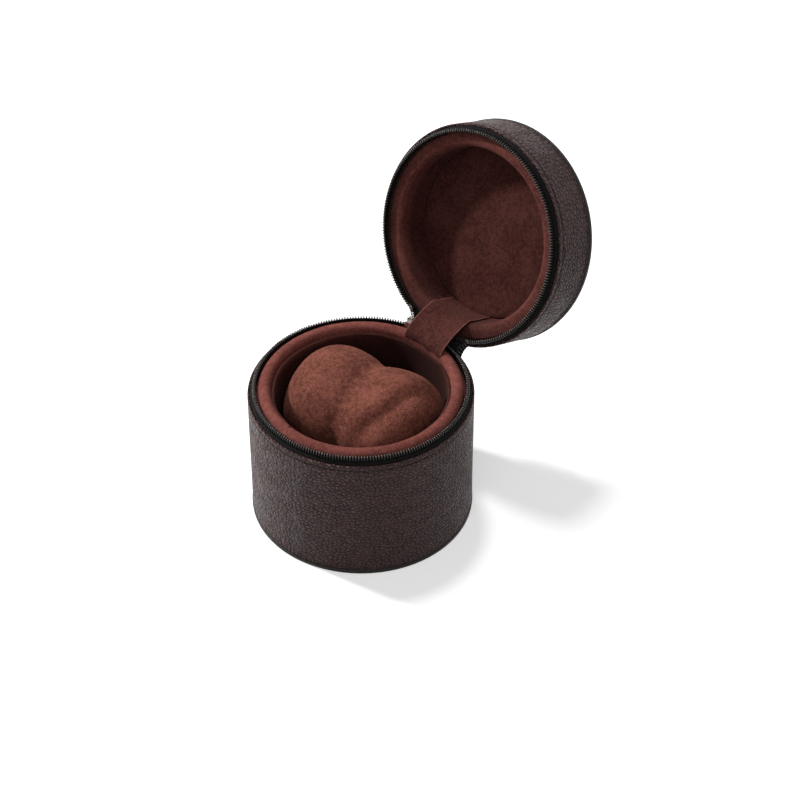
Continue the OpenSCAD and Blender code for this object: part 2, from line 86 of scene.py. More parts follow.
makeCamera(cameraSetup)
print("camera set")

# sizes read from the solids, in mm

hinge = next(j for j in frame["joints"] if j["name"] == "lid_hinge")
hingePoint = Vector(hinge["pos_m"]) / mm
openAngle = -hinge["range_deg"][0]
openLid = (
    Matrix.Translation(hingePoint)
    @ Matrix.Rotation(radians(-openAngle), 4, "X")
    @ Matrix.Translation(-hingePoint)
)  # takes a point of the shut lid to where it is with the lid open


def spanMm(node, shut=False):  # lowest and highest (radius, z) of a ring-shaped solid
    turn = openLid.inverted() if shut else Matrix.Identity(4)
    pts = [turn @ (v.co / mm) for v in frame["nodes"][node].data.vertices]
    radii = [hypot(p.x, p.y) for p in pts]
    heights = [p.z for p in pts]
    return (min(radii), min(heights)), (max(radii), max(heights))


(leatherIn, bindingTop), (caseR, baseTop) = spanMm("base_leather_wall")
seamZ = hingePoint.z
lidEdge = 2 * seamZ - baseTop
bindingR = spanMm("base_bottom_binding")[1][0]
lidTop = spanMm("lid_top_binding", True)[1][1]
(collarR, collarLow), (boardIn, collarTop) = spanMm("base_collar")
(_, lidCollarZ), (_, lidCollarFar) = spanMm("lid_collar", True)
(linerR, _), (linerOut, lipZ) = spanMm("base_liner")
(_, padLow), (_, floorTop) = spanMm("base_floor_pad")
(_, ceilingZ), (_, topBoardLow) = spanMm("lid_ceiling_pad", True)
(coilIn, coilFoot), (coilOut, _) = spanMm("base_zip_coil")
coilMid = (coilIn + coilOut) / 2
tapeLow = spanMm("base_zip_tape")[0][1]
lidTapeFar = spanMm("lid_zip_tape", True)[1][1]

# mesh helpers


def spread(first, last, count):  # even values from the first to the last
    return [first + (last - first) * k / count for k in range(count + 1)]


def onCircle(turn, r=1.0, z=0.0):  # the point at an angle round Z, in degrees
    t = radians(turn)
    return Vector((r * cos(t), r * sin(t), z))


def arcOf(cr, cz, rr, rz, a0, a1, steps, wearAndPaintedLight=0.0):  # points of an ellipse round (cr, cz)
    turns = [radians(a) for a in spread(a0, a1, steps)]
    return [(cr + rr * cos(a), cz + rz * sin(a), wearAndPaintedLight) for a in turns]


def ribbonLoop(path, thick):  # closed loop of a thin band round a line of (r, z)
    left, right = [], []
    for i, (p, t) in enumerate(zip(path, thick)):
        a, b = path[max(0, i - 1)], path[min(len(path) - 1, i + 1)]
        d = Vector((b[0] - a[0], b[1] - a[1])).normalized()
        left.append((p[0] - d.y * t / 2, p[1] + d.x * t / 2, 0.0))
        right.append((p[0] + d.y * t / 2, p[1] - d.x * t / 2, 0.0))
    return left + right[::-1]


def meshObject(name, bm, material, sharp=None):  # bm in metres; edges past the sharp angle stay hard
    mesh = bpy.data.meshes.new(name)
    bm.to_mesh(mesh)
    bm.free()
    smooth(mesh)
    if sharp:
        mesh.set_sharp_from_angle(angle=radians(sharp))
    mesh.materials.append(material)
    return addObject(name, mesh)


def smooth(mesh):
    for face in mesh.polygons:
        face.use_smooth = True


def finishMesh(name, bm, material, place=None, sharp=None):  # bm in mm
    if place:
        bmesh.ops.transform(bm, matrix=place, verts=bm.verts)
    bmesh.ops.scale(bm, vec=(mm, mm, mm), verts=bm.verts)
    return meshObject(name, bm, material, sharp)


def applied(obj):  # the mesh that the object's modifiers make, which are then removed
    mesh = bpy.data.meshes.new_from_object(obj.evaluated_get(bpy.context.evaluated_depsgraph_get()))
    obj.modifiers.clear()
    return mesh


def skinLayers(bm):  # the map of the skin in mm, and the wear and painted light: above 0 wear with a painted highlight, below 0 painted shade in grooves and beside the hinge
    return bm.loops.layers.uv.new("skin"), bm.verts.layers.float.new("wearAndPaintedLight")


def lathe(name, loop, material, angles=None, arc=None, steps=288, place=None,
          shape=None, flatSkin=False, sharp=None, brushed=0.0):
    # turns a closed loop of (r, z, wear and painted light) round Z; arc = (first, last) angle leaves it open
    turns = angles or spread(*(arc or (90.0, 450.0)), steps)
    bm = bmesh.new()
    skin, wearLayer = skinLayers(bm)
    runs = [0.0]
    for a, b in zip(loop, loop[1:] + loop[:1]):
        runs.append(runs[-1] + hypot(b[0] - a[0], b[1] - a[1]))
    rows = []
    for turn in turns if arc else turns[:-1]:
        row = []
        for j, (r, z, wearAndPaintedLight) in enumerate(loop):
            if shape:
                r, z = shape(turn, r, z)
            if r < 1e-6 and rows:
                row.append(rows[0][j])
                continue
            row.append(bm.verts.new(onCircle(turn, r, z)))
            # painted shade beside the hinge lowers the value
            row[-1][wearLayer] = wearAndPaintedLight - brushed * besideHinge(turn)
        rows.append(row)
    for i, pair in enumerate(zip(turns, turns[1:])):
        here, there = rows[i], rows[(i + 1) % len(rows)]
        u = [radians(t - 90) * caseR for t in pair]
        for j in range(len(loop)):
            j2 = (j + 1) % len(loop)
            ring = [(here[j], (u[0], runs[j])), (there[j], (u[1], runs[j])),
                    (there[j2], (u[1], runs[j + 1])), (here[j2], (u[0], runs[j + 1]))]
            kept = [c for n, c in enumerate(ring) if c[0] not in [k[0] for k in ring[:n]]]
            if len(kept) < 3:
                continue
            face = bm.faces.new([c[0] for c in kept])
            for corner, (vert, uv) in zip(face.loops, kept):
                corner[skin].uv = (vert.co.x, vert.co.y) if flatSkin else uv
    for row in (rows[0], rows[-1]) if arc else ():
        for corner in bm.faces.new(row).loops:
            corner[skin].uv = (corner.vert.co.x, corner.vert.co.z)
    bmesh.ops.recalc_face_normals(bm, faces=bm.faces)
    return finishMesh(name, bm, material, place, sharp)


def besideHinge(turn, half=60.0):  # 1 at the hinge, and 0 at the front
    away = (turn + 90) % 360 - 180
    return exp(-((away / half) ** 2))


def turned(name, nodes, body, slot, loop, material, fill=None, **how):
    # a turned piece in its nodes' place; one on the lid is opened with it
    piece = lathe(name, loop, material, place=openLid if body == "lid" else None, **how)
    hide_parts(*nodes)
    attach(piece, body)


def sheetBetween(name, face, back, material, wearAndPaintedLight=None, sharp=None):
    # closed sheet between two grids of points; the wear and painted highlight hold a value for each column
    bm = bmesh.new()
    skin, wearLayer = skinLayers(bm)
    m, n = len(face) - 1, len(face[0]) - 1
    grids = [[[bm.verts.new(p) for p in row] for row in grid] for grid in (face, back)]
    for row in (grids[0] + grids[1]) if wearAndPaintedLight else ():
        for vert, value in zip(row, wearAndPaintedLight):
            vert[wearLayer] = value
    along = [0.0]
    for a, b in zip(face, face[1:]):
        along.append(along[-1] + (Vector(b[(n + 1) // 2]) - Vector(a[(n + 1) // 2])).length)
    wide = [(Vector(p) - Vector(face[0][0])).length for p in face[0]]

    def quad(*corners):
        f = bm.faces.new([grids[g][i][j] for g, i, j in corners])
        for corner, (g, i, j) in zip(f.loops, corners):
            corner[skin].uv = (wide[j] + 0.8 * g, along[i])

    for g, i, j in [(g, i, j) for g in (0, 1) for i in range(m) for j in range(n)]:
        quad((g, i, j), (g, i, j + 1), (g, i + 1, j + 1), (g, i + 1, j))
    rim = [(i, 0) for i in range(m)] + [(m, j) for j in range(n)]
    rim += [(i, n) for i in range(m, 0, -1)] + [(0, j) for j in range(n, 0, -1)]
    for a, b in zip(rim, rim[1:] + rim[:1]):
        quad((0, *a), (0, *b), (1, *b), (1, *a))
    bmesh.ops.recalc_face_normals(bm, faces=bm.faces)
    return finishMesh(name, bm, material, sharp=sharp)


def dressedCopy(name, node, material, bevel, steps=2, sharp=30, mapped=False):
    # a clean, bevelled copy of a small hard solid, with a flat map of its skin where asked
    bm = bmesh.new()
    bm.from_mesh(frame["nodes"][node].data)
    bmesh.ops.remove_doubles(bm, verts=bm.verts, dist=2e-6)
    bmesh.ops.dissolve_limit(bm, angle_limit=radians(1.5), verts=bm.verts, edges=bm.edges)
    bmesh.ops.recalc_face_normals(bm, faces=bm.faces)
    if mapped:
        skin = bm.loops.layers.uv.new("skin")
        broad = max(bm.faces, key=lambda f: f.calc_area()).normal.copy()
        side = broad.cross(Vector((0, 0, 1))).normalized()
        for corner in [c for face in bm.faces for c in face.loops]:
            p = corner.vert.co / mm
            corner[skin].uv = (p.dot(side) + 0.7 * p.dot(broad), p.z)
    obj = meshObject(name, bm, material, sharp + 20)
    mod = obj.modifiers.new("bevel", "BEVEL")
    mod.width, mod.segments = bevel * mm, steps
    mod.limit_method, mod.angle_limit = "ANGLE", radians(sharp)
    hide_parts(node)
    return obj


# shader helpers


def srgb(*screen):  # 0-255 screen values to the linear values that nodes take
    shares = [c / 255 for c in screen]
    return tuple(c / 12.92 if c <= 0.04045 else ((c + 0.055) / 1.055) ** 2.4 for c in shares) + (1.0,)


def put(tree, kind, sockets=None, **settings):  # a new node, given what its sockets take
    node = tree.nodes.new(kind)
    for key, value in settings.items():
        setattr(node, key, value)
    for key, value in (sockets or {}).items():
        if isinstance(value, bpy.types.NodeSocket):
            tree.links.new(value, node.inputs[key])
        else:
            node.inputs[key].default_value = value
    return node.outputs


def calc(tree, how, a, b=0.0, clamp=False):
    return put(tree, "ShaderNodeMath", {0: a, 1: b}, operation=how, use_clamp=clamp)[0]


def times(tree, a, b, clamp=False):
    return calc(tree, "MULTIPLY", a, b, clamp)


def inverse(tree, a):
    return calc(tree, "DIVIDE", 1.0, a)


def shift(tree, vector, by, how="ADD"):
    return put(tree, "ShaderNodeVectorMath", {0: vector, 1: by}, operation=how)[0]


def scaled(tree, vector, by):
    return put(tree, "ShaderNodeVectorMath", {0: vector, "Scale": by}, operation="SCALE")[0]


def remap(tree, value, low, high, a=0.0, b=1.0, way="SMOOTHSTEP"):
    return put(tree, "ShaderNodeMapRange",
               {"Value": value, "From Min": low, "From Max": high, "To Min": a, "To Max": b},
               interpolation_type=way)[0]


def blendColour(tree, share, a, b, how="MIX"):
    return put(tree, "ShaderNodeMix", {0: share, 6: a, 7: b}, data_type="RGBA", blend_type=how)[2]


def layered(tree, colour, *layers):  # lays (mask, share, colour) over a colour, one by one
    for mask, share, over in layers:
        colour = blendColour(tree, times(tree, mask, share), colour, over)
    return colour


def grain(tree, vector, scale, detail=2.0, rough=0.5):
    return put(tree, "ShaderNodeTexNoise",
               {"Vector": vector, "Scale": scale, "Detail": detail, "Roughness": rough})


def pebbles(tree, vector, scale, randomness=0.9, feature="DISTANCE_TO_EDGE"):
    return put(tree, "ShaderNodeTexVoronoi",
               {"Vector": vector, "Scale": scale, "Randomness": randomness},
               voronoi_dimensions="2D", feature=feature)


def newGroup(name, numbers):  # a node group that takes a vector in mm and the named numbers
    tree = bpy.data.node_groups.new(name, "ShaderNodeTree")
    tree.interface.new_socket(name="Vector", in_out="INPUT", socket_type="NodeSocketVector")
    for label, value in numbers.items():
        socket = tree.interface.new_socket(name=label, in_out="INPUT", socket_type="NodeSocketFloat")
        socket.default_value = value
    given = tree.nodes.new("NodeGroupInput").outputs
    return tree, given["Vector"], given


def closeGroup(tree, results):  # names what the group puts out
    for label in results:
        tree.interface.new_socket(name=label, in_out="OUTPUT", socket_type="NodeSocketFloat")
    end = tree.nodes.new("NodeGroupOutput")
    for label, value in results.items():
        tree.links.new(value, end.inputs[label])
    return tree


def use(tree, group, sockets):
    return put(tree, "ShaderNodeGroup", sockets, node_tree=group)


def makePebbleGrain():  # pebbled leather
    g, at, given = newGroup("pebbleGrain", {
        "Pebble": 1.3, "Squash": 0.8, "Crease Width": 0.27, "Wander": 0.8})
    drift = shift(g, grain(g, at, 0.45, 3.0)["Color"], (0.5, 0.5, 0.5), "SUBTRACT")
    x, y, _ = put(g, "ShaderNodeSeparateXYZ", {0: shift(g, at, scaled(g, drift, given["Wander"]))})
    bent = put(g, "ShaderNodeCombineXYZ", {0: x, 1: calc(g, "DIVIDE", y, given["Squash"])})[0]
    scale = inverse(g, given["Pebble"])
    edge = pebbles(g, bent, scale)["Distance"]
    cells = pebbles(g, bent, scale, feature="F1")
    fine = pebbles(g, bent, times(g, scale, 2.3), 1.0)["Distance"]
    depth = remap(g, grain(g, at, 0.22)[0], 0.34, 0.62, 0.45, 1.0)
    # crease mask: the relief of the creases, and where painted shade darkens the leather
    crease = times(g, calc(g, "SUBTRACT", 1.0, remap(g, edge, 0.0, given["Crease Width"])), depth)
    small = times(g, calc(g, "SUBTRACT", 1.0, remap(g, fine, 0.0, 0.12)), 0.22)
    dome = remap(g, cells["Distance"], 0.0, 0.75, 1.15, 0.0)
    pores = times(g, grain(g, at, 5.0)[0], 0.10)
    height = calc(g, "SUBTRACT", calc(g, "ADD", dome, pores), calc(g, "ADD", crease, small))
    return closeGroup(g, {
        "Height": height, "ShadedCrease": crease,
        "Tone": put(g, "ShaderNodeSeparateColor", {0: cells["Color"]})[0],
        "CrownSheen": remap(g, cells["Distance"], 0.08, 0.5, 1.0, 0.0)})


def makeSuedeNap():  # brushed nap: broad strokes, small mottles and fibres
    g, at, given = newGroup("suedeNap", {"Stroke": 14.0, "Mottle": 2.6, "Fibre": 0.28})
    bent = shift(g, at, scaled(g, grain(g, at, 0.08)["Color"], 9.0))
    stroke = grain(g, bent, inverse(g, given["Stroke"]), 3.0, 0.55)[0]
    mottle = grain(g, at, inverse(g, given["Mottle"]), 4.0, 0.6)[0]
    fibre = grain(g, at, inverse(g, given["Fibre"]), 2.0, 0.6)[0]
    shade = calc(g, "ADD", times(g, remap(g, stroke, 0.32, 0.68), 0.28),
                 times(g, remap(g, mottle, 0.37, 0.63), 0.32))
    shade = calc(g, "ADD", shade, times(g, remap(g, fibre, 0.4, 0.6), 0.40))
    height = calc(g, "ADD", times(g, mottle, 0.5), times(g, fibre, 0.5))
    return closeGroup(g, {"Shade": shade, "Height": height, "Fibres": fibre})


def makeEdgeWearAndLight():  # the mesh's own value of wear and painted light, broken up by noise: above 0 wear with a painted highlight, below 0 painted shade
    g, at, given = newGroup("edgeWearAndLight", {"Patch": 2.0, "Amount": 1.0})
    wearAndPaintedLight = put(g, "ShaderNodeAttribute", attribute_name="wearAndPaintedLight")["Fac"]
    broken = remap(g, grain(g, at, inverse(g, given["Patch"]), 4.0, 0.65)[0], 0.3, 0.7, 0.35, 1.0)
    return closeGroup(g, {
        "Mask": times(g, times(g, wearAndPaintedLight, broken), given["Amount"], clamp=True),
        "PaintedShade": times(g, wearAndPaintedLight, -1.0, clamp=True)})


def makeTapeWeave():  # herringbone of fine yarns along and across the tape
    g, at, given = newGroup("tapeWeave", {"Yarn": 0.42})
    x, y, _ = put(g, "ShaderNodeSeparateXYZ", {0: at})
    x, y = (calc(g, "DIVIDE", part, given["Yarn"]) for part in (x, y))
    slant = calc(g, "PINGPONG", y, 3.0)
    wave = calc(g, "SINE", times(g, calc(g, "ADD", x, slant), pi))
    cross = calc(g, "SINE", times(g, y, pi * 2))
    height = calc(g, "ADD", calc(g, "ABSOLUTE", wave), times(g, calc(g, "ABSOLUTE", cross), 0.6))
    return closeGroup(g, {"Height": height, "Shade": grain(g, at, 1.4, 3.0)[0]})


def makeHandling():  # faint uneven polish and scratches from handling
    g, at, given = newGroup("handlingMarks", {"Patch": 4.0})
    drawn = put(g, "ShaderNodeMapping", {"Vector": at, "Scale": (0.6, 9.0, 3.0)})[0]
    return closeGroup(g, {
        "Polish": grain(g, at, inverse(g, given["Patch"]), 4.0, 0.6)[0],
        "Scratch": remap(g, grain(g, drawn, 1.0, 3.0, 0.7)[0], 0.56, 0.66)})


pebbleGrain = makePebbleGrain()
suedeNap = makeSuedeNap()
edgeWearAndLight = makeEdgeWearAndLight()
tapeWeave = makeTapeWeave()
handlingMarks = makeHandling()


def newMaterial(name, shader):
    mat = bpy.data.materials.new(name)
    mat.use_nodes = True
    for key, value in shader.items():
        mat.node_tree.nodes["Principled BSDF"].inputs[key].default_value = value
    return mat, mat.node_tree


def inMm(tree, skin=False):  # coordinates in millimetres, from the object or from its own map
    if skin:
        return put(tree, "ShaderNodeUVMap", uv_map="skin")[0]
    at = put(tree, "ShaderNodeTexCoord")["Object"]
    return put(tree, "ShaderNodeMapping", {"Vector": at, "Scale": (1000, 1000, 1000)})[0]


def finishShader(mat, colour, rough, height, depth, strength=1.0):  # depth of the relief in mm
    tree = mat.node_tree
    bump = put(tree, "ShaderNodeBump",
               {"Height": height, "Distance": depth * mm, "Strength": strength})[0]
    for label, value in (("Base Color", colour), ("Roughness", rough), ("Normal", bump)):
        tree.links.new(value, tree.nodes["Principled BSDF"].inputs[label])
    return mat


leatherFinish = {
    # crease colour: painted shade in the pebbles' creases and the wall's grooves; worn colour: wear with a
    # painted highlight on folded edges
    "colour": srgb(97, 66, 65), "crease": srgb(13, 8, 8), "wornAndHighlight": srgb(112, 82, 76),
    "tone": (0.82, 1.18), "crown": (0.78, 1.26),  # pebbles differ, and their crowns carry a painted sheen
    "pebble": 2.1, "squash": 0.78, "relief": 1.15, "roughness": (0.34, 0.46), "wearAndPaintedLight": 1.0,
}


def makeLeather(name, s):
    mat, tree = newMaterial(name, {"Specular IOR Level": 0.22})
    at = inMm(tree, skin=True)
    skin = use(tree, pebbleGrain, {"Vector": at, "Pebble": s["pebble"], "Squash": s["squash"]})
    marks = use(tree, handlingMarks, {"Vector": at, "Patch": 9.0})
    wearAndPaintedLight = use(tree, edgeWearAndLight, {"Vector": at, "Patch": 1.6, "Amount": s["wearAndPaintedLight"]})
    # random tone of each pebble, times a painted sheen on its crown
    tone = times(tree, remap(tree, skin["Tone"], 0.0, 1.0, *s["tone"], "LINEAR"),
                 remap(tree, skin["CrownSheen"], 0.0, 1.0, *s["crown"], "LINEAR"))
    tone = put(tree, "ShaderNodeCombineColor", {0: tone, 1: tone, 2: tone})[0]
    colour = blendColour(tree, 1.0, s["colour"], tone, "MULTIPLY")
    # painted shade in the creases, wear with a painted highlight on edges, painted shade in the grooves
    colour = layered(tree, colour, (skin["ShadedCrease"], 0.85, s["crease"]),
                     (wearAndPaintedLight["Mask"], 0.45, s["wornAndHighlight"]), (wearAndPaintedLight["PaintedShade"], 0.8, s["crease"]))
    rough = remap(tree, marks["Polish"], 0.3, 0.7, *s["roughness"])
    rough = calc(tree, "ADD", rough, times(tree, skin["ShadedCrease"], 0.2), clamp=True)
    return finishShader(mat, colour, rough, skin["Height"], s["relief"])


bindingFinish = {
    "colour": srgb(24, 19, 18), "dark": srgb(17, 15, 15), "wornAndHighlight": srgb(66, 54, 50),
    "roughness": (0.34, 0.5),
}


def makeBindingLeather(s):
    mat, tree = newMaterial("bindingLeather", {"Specular IOR Level": 0.2})
    at = inMm(tree)
    fine = grain(tree, at, 3.2, 3.0, 0.6)[0]
    wearAndPaintedLight = use(tree, edgeWearAndLight, {"Vector": at, "Patch": 1.2, "Amount": 1.0})
    colour = blendColour(tree, remap(tree, fine, 0.3, 0.7), s["colour"], s["dark"])
    colour = layered(tree, colour, (wearAndPaintedLight["Mask"], 0.5, s["wornAndHighlight"]))
    rough = remap(tree, grain(tree, at, 0.4)[0], 0.3, 0.7, *s["roughness"])
    return finishShader(mat, colour, rough, fine, 0.06)


suedeFinish = {
    "light": srgb(135, 79, 71), "dark": srgb(87, 44, 40),
    # the first colour here is lighter edge wear with a painted highlight on lips and cut edges; the second
    # is painted shade beside the hinge
    "edge": srgb(158, 102, 92), "brushed": srgb(36, 18, 16),
    "stroke": 15.0, "mottle": 1.9, "fibre": 0.6, "relief": 0.2, "contrast": 1.0,
}


def makeSuede(name, s):
    mat, tree = newMaterial(name, {
        "Specular IOR Level": 0.08, "Sheen Weight": 0.07, "Sheen Roughness": 0.45,
        "Sheen Tint": srgb(200, 150, 138)})
    at = inMm(tree)
    nap = use(tree, suedeNap, {
        "Vector": at, "Stroke": s["stroke"], "Mottle": s["mottle"], "Fibre": s["fibre"]})
    wearAndPaintedLight = use(tree, edgeWearAndLight, {"Vector": at, "Patch": 0.8, "Amount": 1.0})
    reach = 0.5 / s["contrast"]
    share = remap(tree, nap["Shade"], 0.5 - reach, 0.5 + reach, way="LINEAR")
    # edges get wear with a painted highlight, and the suede beside the hinge gets painted shade
    colour = layered(tree, blendColour(tree, share, s["dark"], s["light"]),
                     (wearAndPaintedLight["Mask"], 0.6, s["edge"]), (wearAndPaintedLight["PaintedShade"], 1.0, s["brushed"]))
    rough = remap(tree, nap["Fibres"], 0.2, 0.8, 0.82, 0.98)
    return finishShader(mat, colour, rough, nap["Height"], s["relief"])


def brushedSuede(name, share, contrast):  # the same suede painted darker: a shaded copy that stands in for shade
    shadedColours = {key: tuple(c * share for c in suedeFinish[key][:3]) + (1.0,) for key in ("light", "dark")}
    return makeSuede(name, dict(suedeFinish, contrast=contrast, **shadedColours))


tapeFinish = {"dark": srgb(12, 11, 11), "light": srgb(25, 22, 22), "yarn": 0.42}


def makeTapeCloth(s):
    mat, tree = newMaterial("zipTapeCloth", {"Specular IOR Level": 0.08, "Sheen Weight": 0.03})
    weave = use(tree, tapeWeave, {"Vector": inMm(tree, skin=True), "Yarn": s["yarn"]})
    colour = blendColour(tree, remap(tree, weave["Shade"], 0.3, 0.7), s["dark"], s["light"])
    rough = remap(tree, weave["Height"], 0.0, 1.6, 0.92, 0.7)
    return finishShader(mat, colour, rough, weave["Height"], 0.08)


# the tip colour is a painted highlight on the coil's tips
coilFinish = {"dark": srgb(12, 11, 10), "light": srgb(24, 21, 20), "tipHighlight": srgb(94, 87, 82)}


def makeCoilNylon(s):
    mat, tree = newMaterial("coilNylon", {"Specular IOR Level": 0.4})
    at = inMm(tree)
    polish = use(tree, handlingMarks, {"Vector": at, "Patch": 2.0})["Polish"]
    # mask of the painted highlight on the tips
    tipHighlights = use(tree, edgeWearAndLight, {"Vector": at, "Patch": 1.0, "Amount": 0.9})["Mask"]
    colour = blendColour(tree, tipHighlights, blendColour(tree, polish, s["dark"], s["light"]), s["tipHighlight"])
    rough = remap(tree, polish, 0.3, 0.7, 0.2, 0.32)
    return finishShader(mat, colour, rough, grain(tree, at, 6.0)[0], 0.015)


def makeNickel(name, low, high):
    mat, tree = newMaterial(name, {"Metallic": 1.0})
    marks = use(tree, handlingMarks, {"Vector": inMm(tree), "Patch": 3.0})
    colour = blendColour(tree, marks["Polish"], low, high)
    rough = remap(tree, marks["Polish"], 0.3, 0.7, 0.16, 0.28)
    rough = calc(tree, "ADD", rough, times(tree, marks["Scratch"], 0.12))
    return finishShader(mat, colour, rough, marks["Scratch"], 0.01, 0.4)


def makeBoard(dark, light):
    mat, tree = newMaterial("greyboard", {"Specular IOR Level": 0.2})
    pulp = grain(tree, inMm(tree), 0.9, 5.0, 0.7)[0]
    colour = blendColour(tree, remap(tree, pulp, 0.35, 0.65), dark, light)
    return finishShader(mat, colour, remap(tree, pulp, 0.3, 0.7, 0.8, 0.95), pulp, 0.1)


def makeFoam(walls, pores):
    mat, tree = newMaterial("liningFoam", {"Specular IOR Level": 0.1})
    cells = put(tree, "ShaderNodeTexVoronoi", {"Vector": inMm(tree), "Scale": 1.8})["Distance"]
    colour = blendColour(tree, remap(tree, cells, 0.1, 0.7), walls, pores)
    return finishShader(mat, colour, remap(tree, cells, 0.1, 0.7, 0.85, 1.0), cells, 0.2)


leather = makeLeather("pebbledLeather", leatherFinish)
tabLeather = makeLeather("tabLeather", dict(leatherFinish, wearAndPaintedLight=1.3, pebble=1.2, relief=0.2))
bindingLeather = makeBindingLeather(bindingFinish)
suede = makeSuede("liningSuede", suedeFinish)
cushionSuede = makeSuede("cushionSuede", dict(
    suedeFinish, light=srgb(133, 80, 67), dark=srgb(84, 45, 37), contrast=1.45))
# darker copies of the lining suede: painted shade on the strap, the cup's lining, the lid's ceiling and
# collar
shadedStrapSuede = brushedSuede("shadedStrapSuede", 0.36, 1.5)
shadedLinerSuede = brushedSuede("shadedLinerSuede", 0.26, 1.2)
shadedCeilingSuede = brushedSuede("shadedCeilingSuede", 0.38, 1.5)
shadedLidSuede = brushedSuede("shadedLidSuede", 0.74, 1.3)
tapeCloth = makeTapeCloth(tapeFinish)
coilNylon = makeCoilNylon(coilFinish)
nickel = makeNickel("nickel", srgb(176, 174, 170), srgb(214, 212, 208))
dullNickel = makeNickel("dullNickel", srgb(74, 72, 70), srgb(112, 110, 107))
board = makeBoard(srgb(38, 28, 26), srgb(56, 43, 39))
foam = makeFoam(srgb(226, 220, 202), srgb(196, 188, 168))
print("materials made")

# leather walls, bindings and discs

leatherSettings = {
    "fold": 0.53,  # rounding of the folded edge
    "creaseInset": 2.5, "creaseDepth": 0.34, "creaseHalf": 0.85,
    "lowCrease": 1.5,  # from the lid's binding to its second crease
    "uneven": 0.05, "disc": 1.1,  # waviness of the walls, thickness of the discs
    "ledge": 1.05, "topRound": 0.42, "footRound": 0.62,  # of the binding
}


def wallLoop(end, edge, secondCrease=False):  # from a leather wall's end to its folded edge
    s = leatherSettings
    up = 1 if edge > end else -1
    f, half = up * s["fold"], (caseR - leatherIn) / 2

    def groove(z):
        h, d = up * s["creaseHalf"], s["creaseDepth"]
        # the groove's bottom holds -1 for painted shade, its upper edge 0.1 for a painted highlight
        return [(caseR, z - h, 0.0), (caseR - d * 0.3, z - h * 0.5, 0.0), (caseR - d, z, -1.0),
                (caseR - d * 0.3, z + h * 0.5, 0.0), (caseR, z + h, 0.1)]

    loop = [(leatherIn, end, 0.0), (caseR - 0.25, end, 0.0), (caseR - 0.04, end + up * 0.12, 0.1),
            (caseR, end + up * 0.4, 0.0)]
    if secondCrease:
        loop += groove(end + up * s["lowCrease"])
    z0, z1 = loop[-1][1], edge - up * (s["creaseInset"] + s["creaseHalf"])
    rows = max(2, int(abs(z1 - z0) / 3))
    loop += [(caseR, z, 0.0) for z in spread(z0, z1, rows)[1:-1]]
    loop += groove(edge - up * s["creaseInset"])
    fold = arcOf(caseR - half, edge - f, half, f, 0, 180, 12)
    # the folded edge carries wear with a painted highlight
    loop += [(r, z, 0.25 + 0.75 * sin(pi * k / 12) ** 2) for k, (r, z, _) in enumerate(fold)]
    return loop + [(leatherIn, edge - up * 4, 0.0)]


def softWall(turn, r, z):  # the leather isn't perfectly even round the board
    if r <= caseR - 0.3:
        return r, z
    return r - leatherSettings["uneven"] * (1 + noise.noise(onCircle(turn, 1.7, z * 0.03))), z


def bindingLoop(z, up):  # bead of binding turned in over the disc
    s = leatherSettings
    inner, top, ledge = caseR - bindingTop, z + up * bindingTop, z + up * s["ledge"]
    loop = [(inner, z, 0.0), (inner, ledge, 0.0), (leatherIn, ledge, 0.0), (leatherIn, top, 0.0)]
    r = s["topRound"]
    loop += arcOf(bindingR - r, top - up * r, r, up * r, 90, 0, 4, 0.3)
    r = s["footRound"]
    foot = arcOf(bindingR - r, z + up * r, r, -up * r, 0, 90, 6)
    return loop + [(x, h, 0.8 * sin(pi * k / 6)) for k, (x, h, _) in enumerate(foot)]


def discLoop(rOut, zFace, zBack, dome=0.0, rim=0.5, rings=10):  # padded or flat disc, face first
    face = [(r, zFace - dome * (1 - (r / rOut) ** 4), 0.0) for r in spread(0.0, rOut - rim, rings)]
    up = rim if zBack > zFace else -rim
    face += arcOf(rOut - rim, zFace + up, rim, up, -90, 0, 6, 0.2)[1:]
    return face + [(rOut, zBack, 0.0), (0.0, zBack, 0.0)]


discR, discThick = caseR - bindingTop, leatherSettings["disc"]
turned("baseLeather", ["base_leather_wall"], "base", "leather",
       wallLoop(bindingTop, baseTop), leather, steps=360, shape=softWall)
turned("lidLeather", ["lid_leather_wall"], "lid", "leather",
       wallLoop(lidTop - bindingTop, lidEdge, True), leather, steps=360, shape=softWall)
turned("baseBinding", ["base_bottom_binding"], "base", "binding",
       bindingLoop(0.0, 1), bindingLeather, steps=300, sharp=60)
turned("lidBinding", ["lid_top_binding"], "lid", "binding",
       bindingLoop(lidTop, -1), bindingLeather, steps=300, sharp=60)
turned("baseUnderside", ["base_bottom_leather"], "base", "leather",
       discLoop(discR, 0.0, discThick), leather, steps=180, flatSkin=True, sharp=50)
turned("lidTopSkin", ["lid_top_leather"], "lid", "leather",
       discLoop(discR, lidTop, lidTop - discThick), leather, steps=180, flatSkin=True, sharp=50)
print("leather made")

# padded collars, linings and pads

liningSettings = {
    "collarOut": 45.25,  # the slider's inner plate passes outside it
    "crownIn": 2.5, "crownHigh": 2.6, "lidCrownIn": 2.7, "lidCrownHigh": 2.5,
    "skin": 0.02, "wave": 0.12, "thick": 1.3,
    "seamAngle": -94.0, "seamHalf": 0.55, "seamRadius": 40.0,  # butt seam of the base collar's cover
    "brushedLid": 0.68, "brushedCup": 0.85,  # how much painted shade darkens the suede beside the hinge
    "pressed": 0.75, "pressedTurn": 88.0, "pressedHalf": 17.0,  # the lip behind the strap, degrees
    "dome": 0.35, "lump": 0.35, "baseRim": 1.4, "ceilingRim": 1.6,
}


def unevenness(turn, seed, size):
    return size * noise.fractal(onCircle(turn, 2.2, seed) + Vector((seed, 0, 0)), 0.6, 2.0, 3)


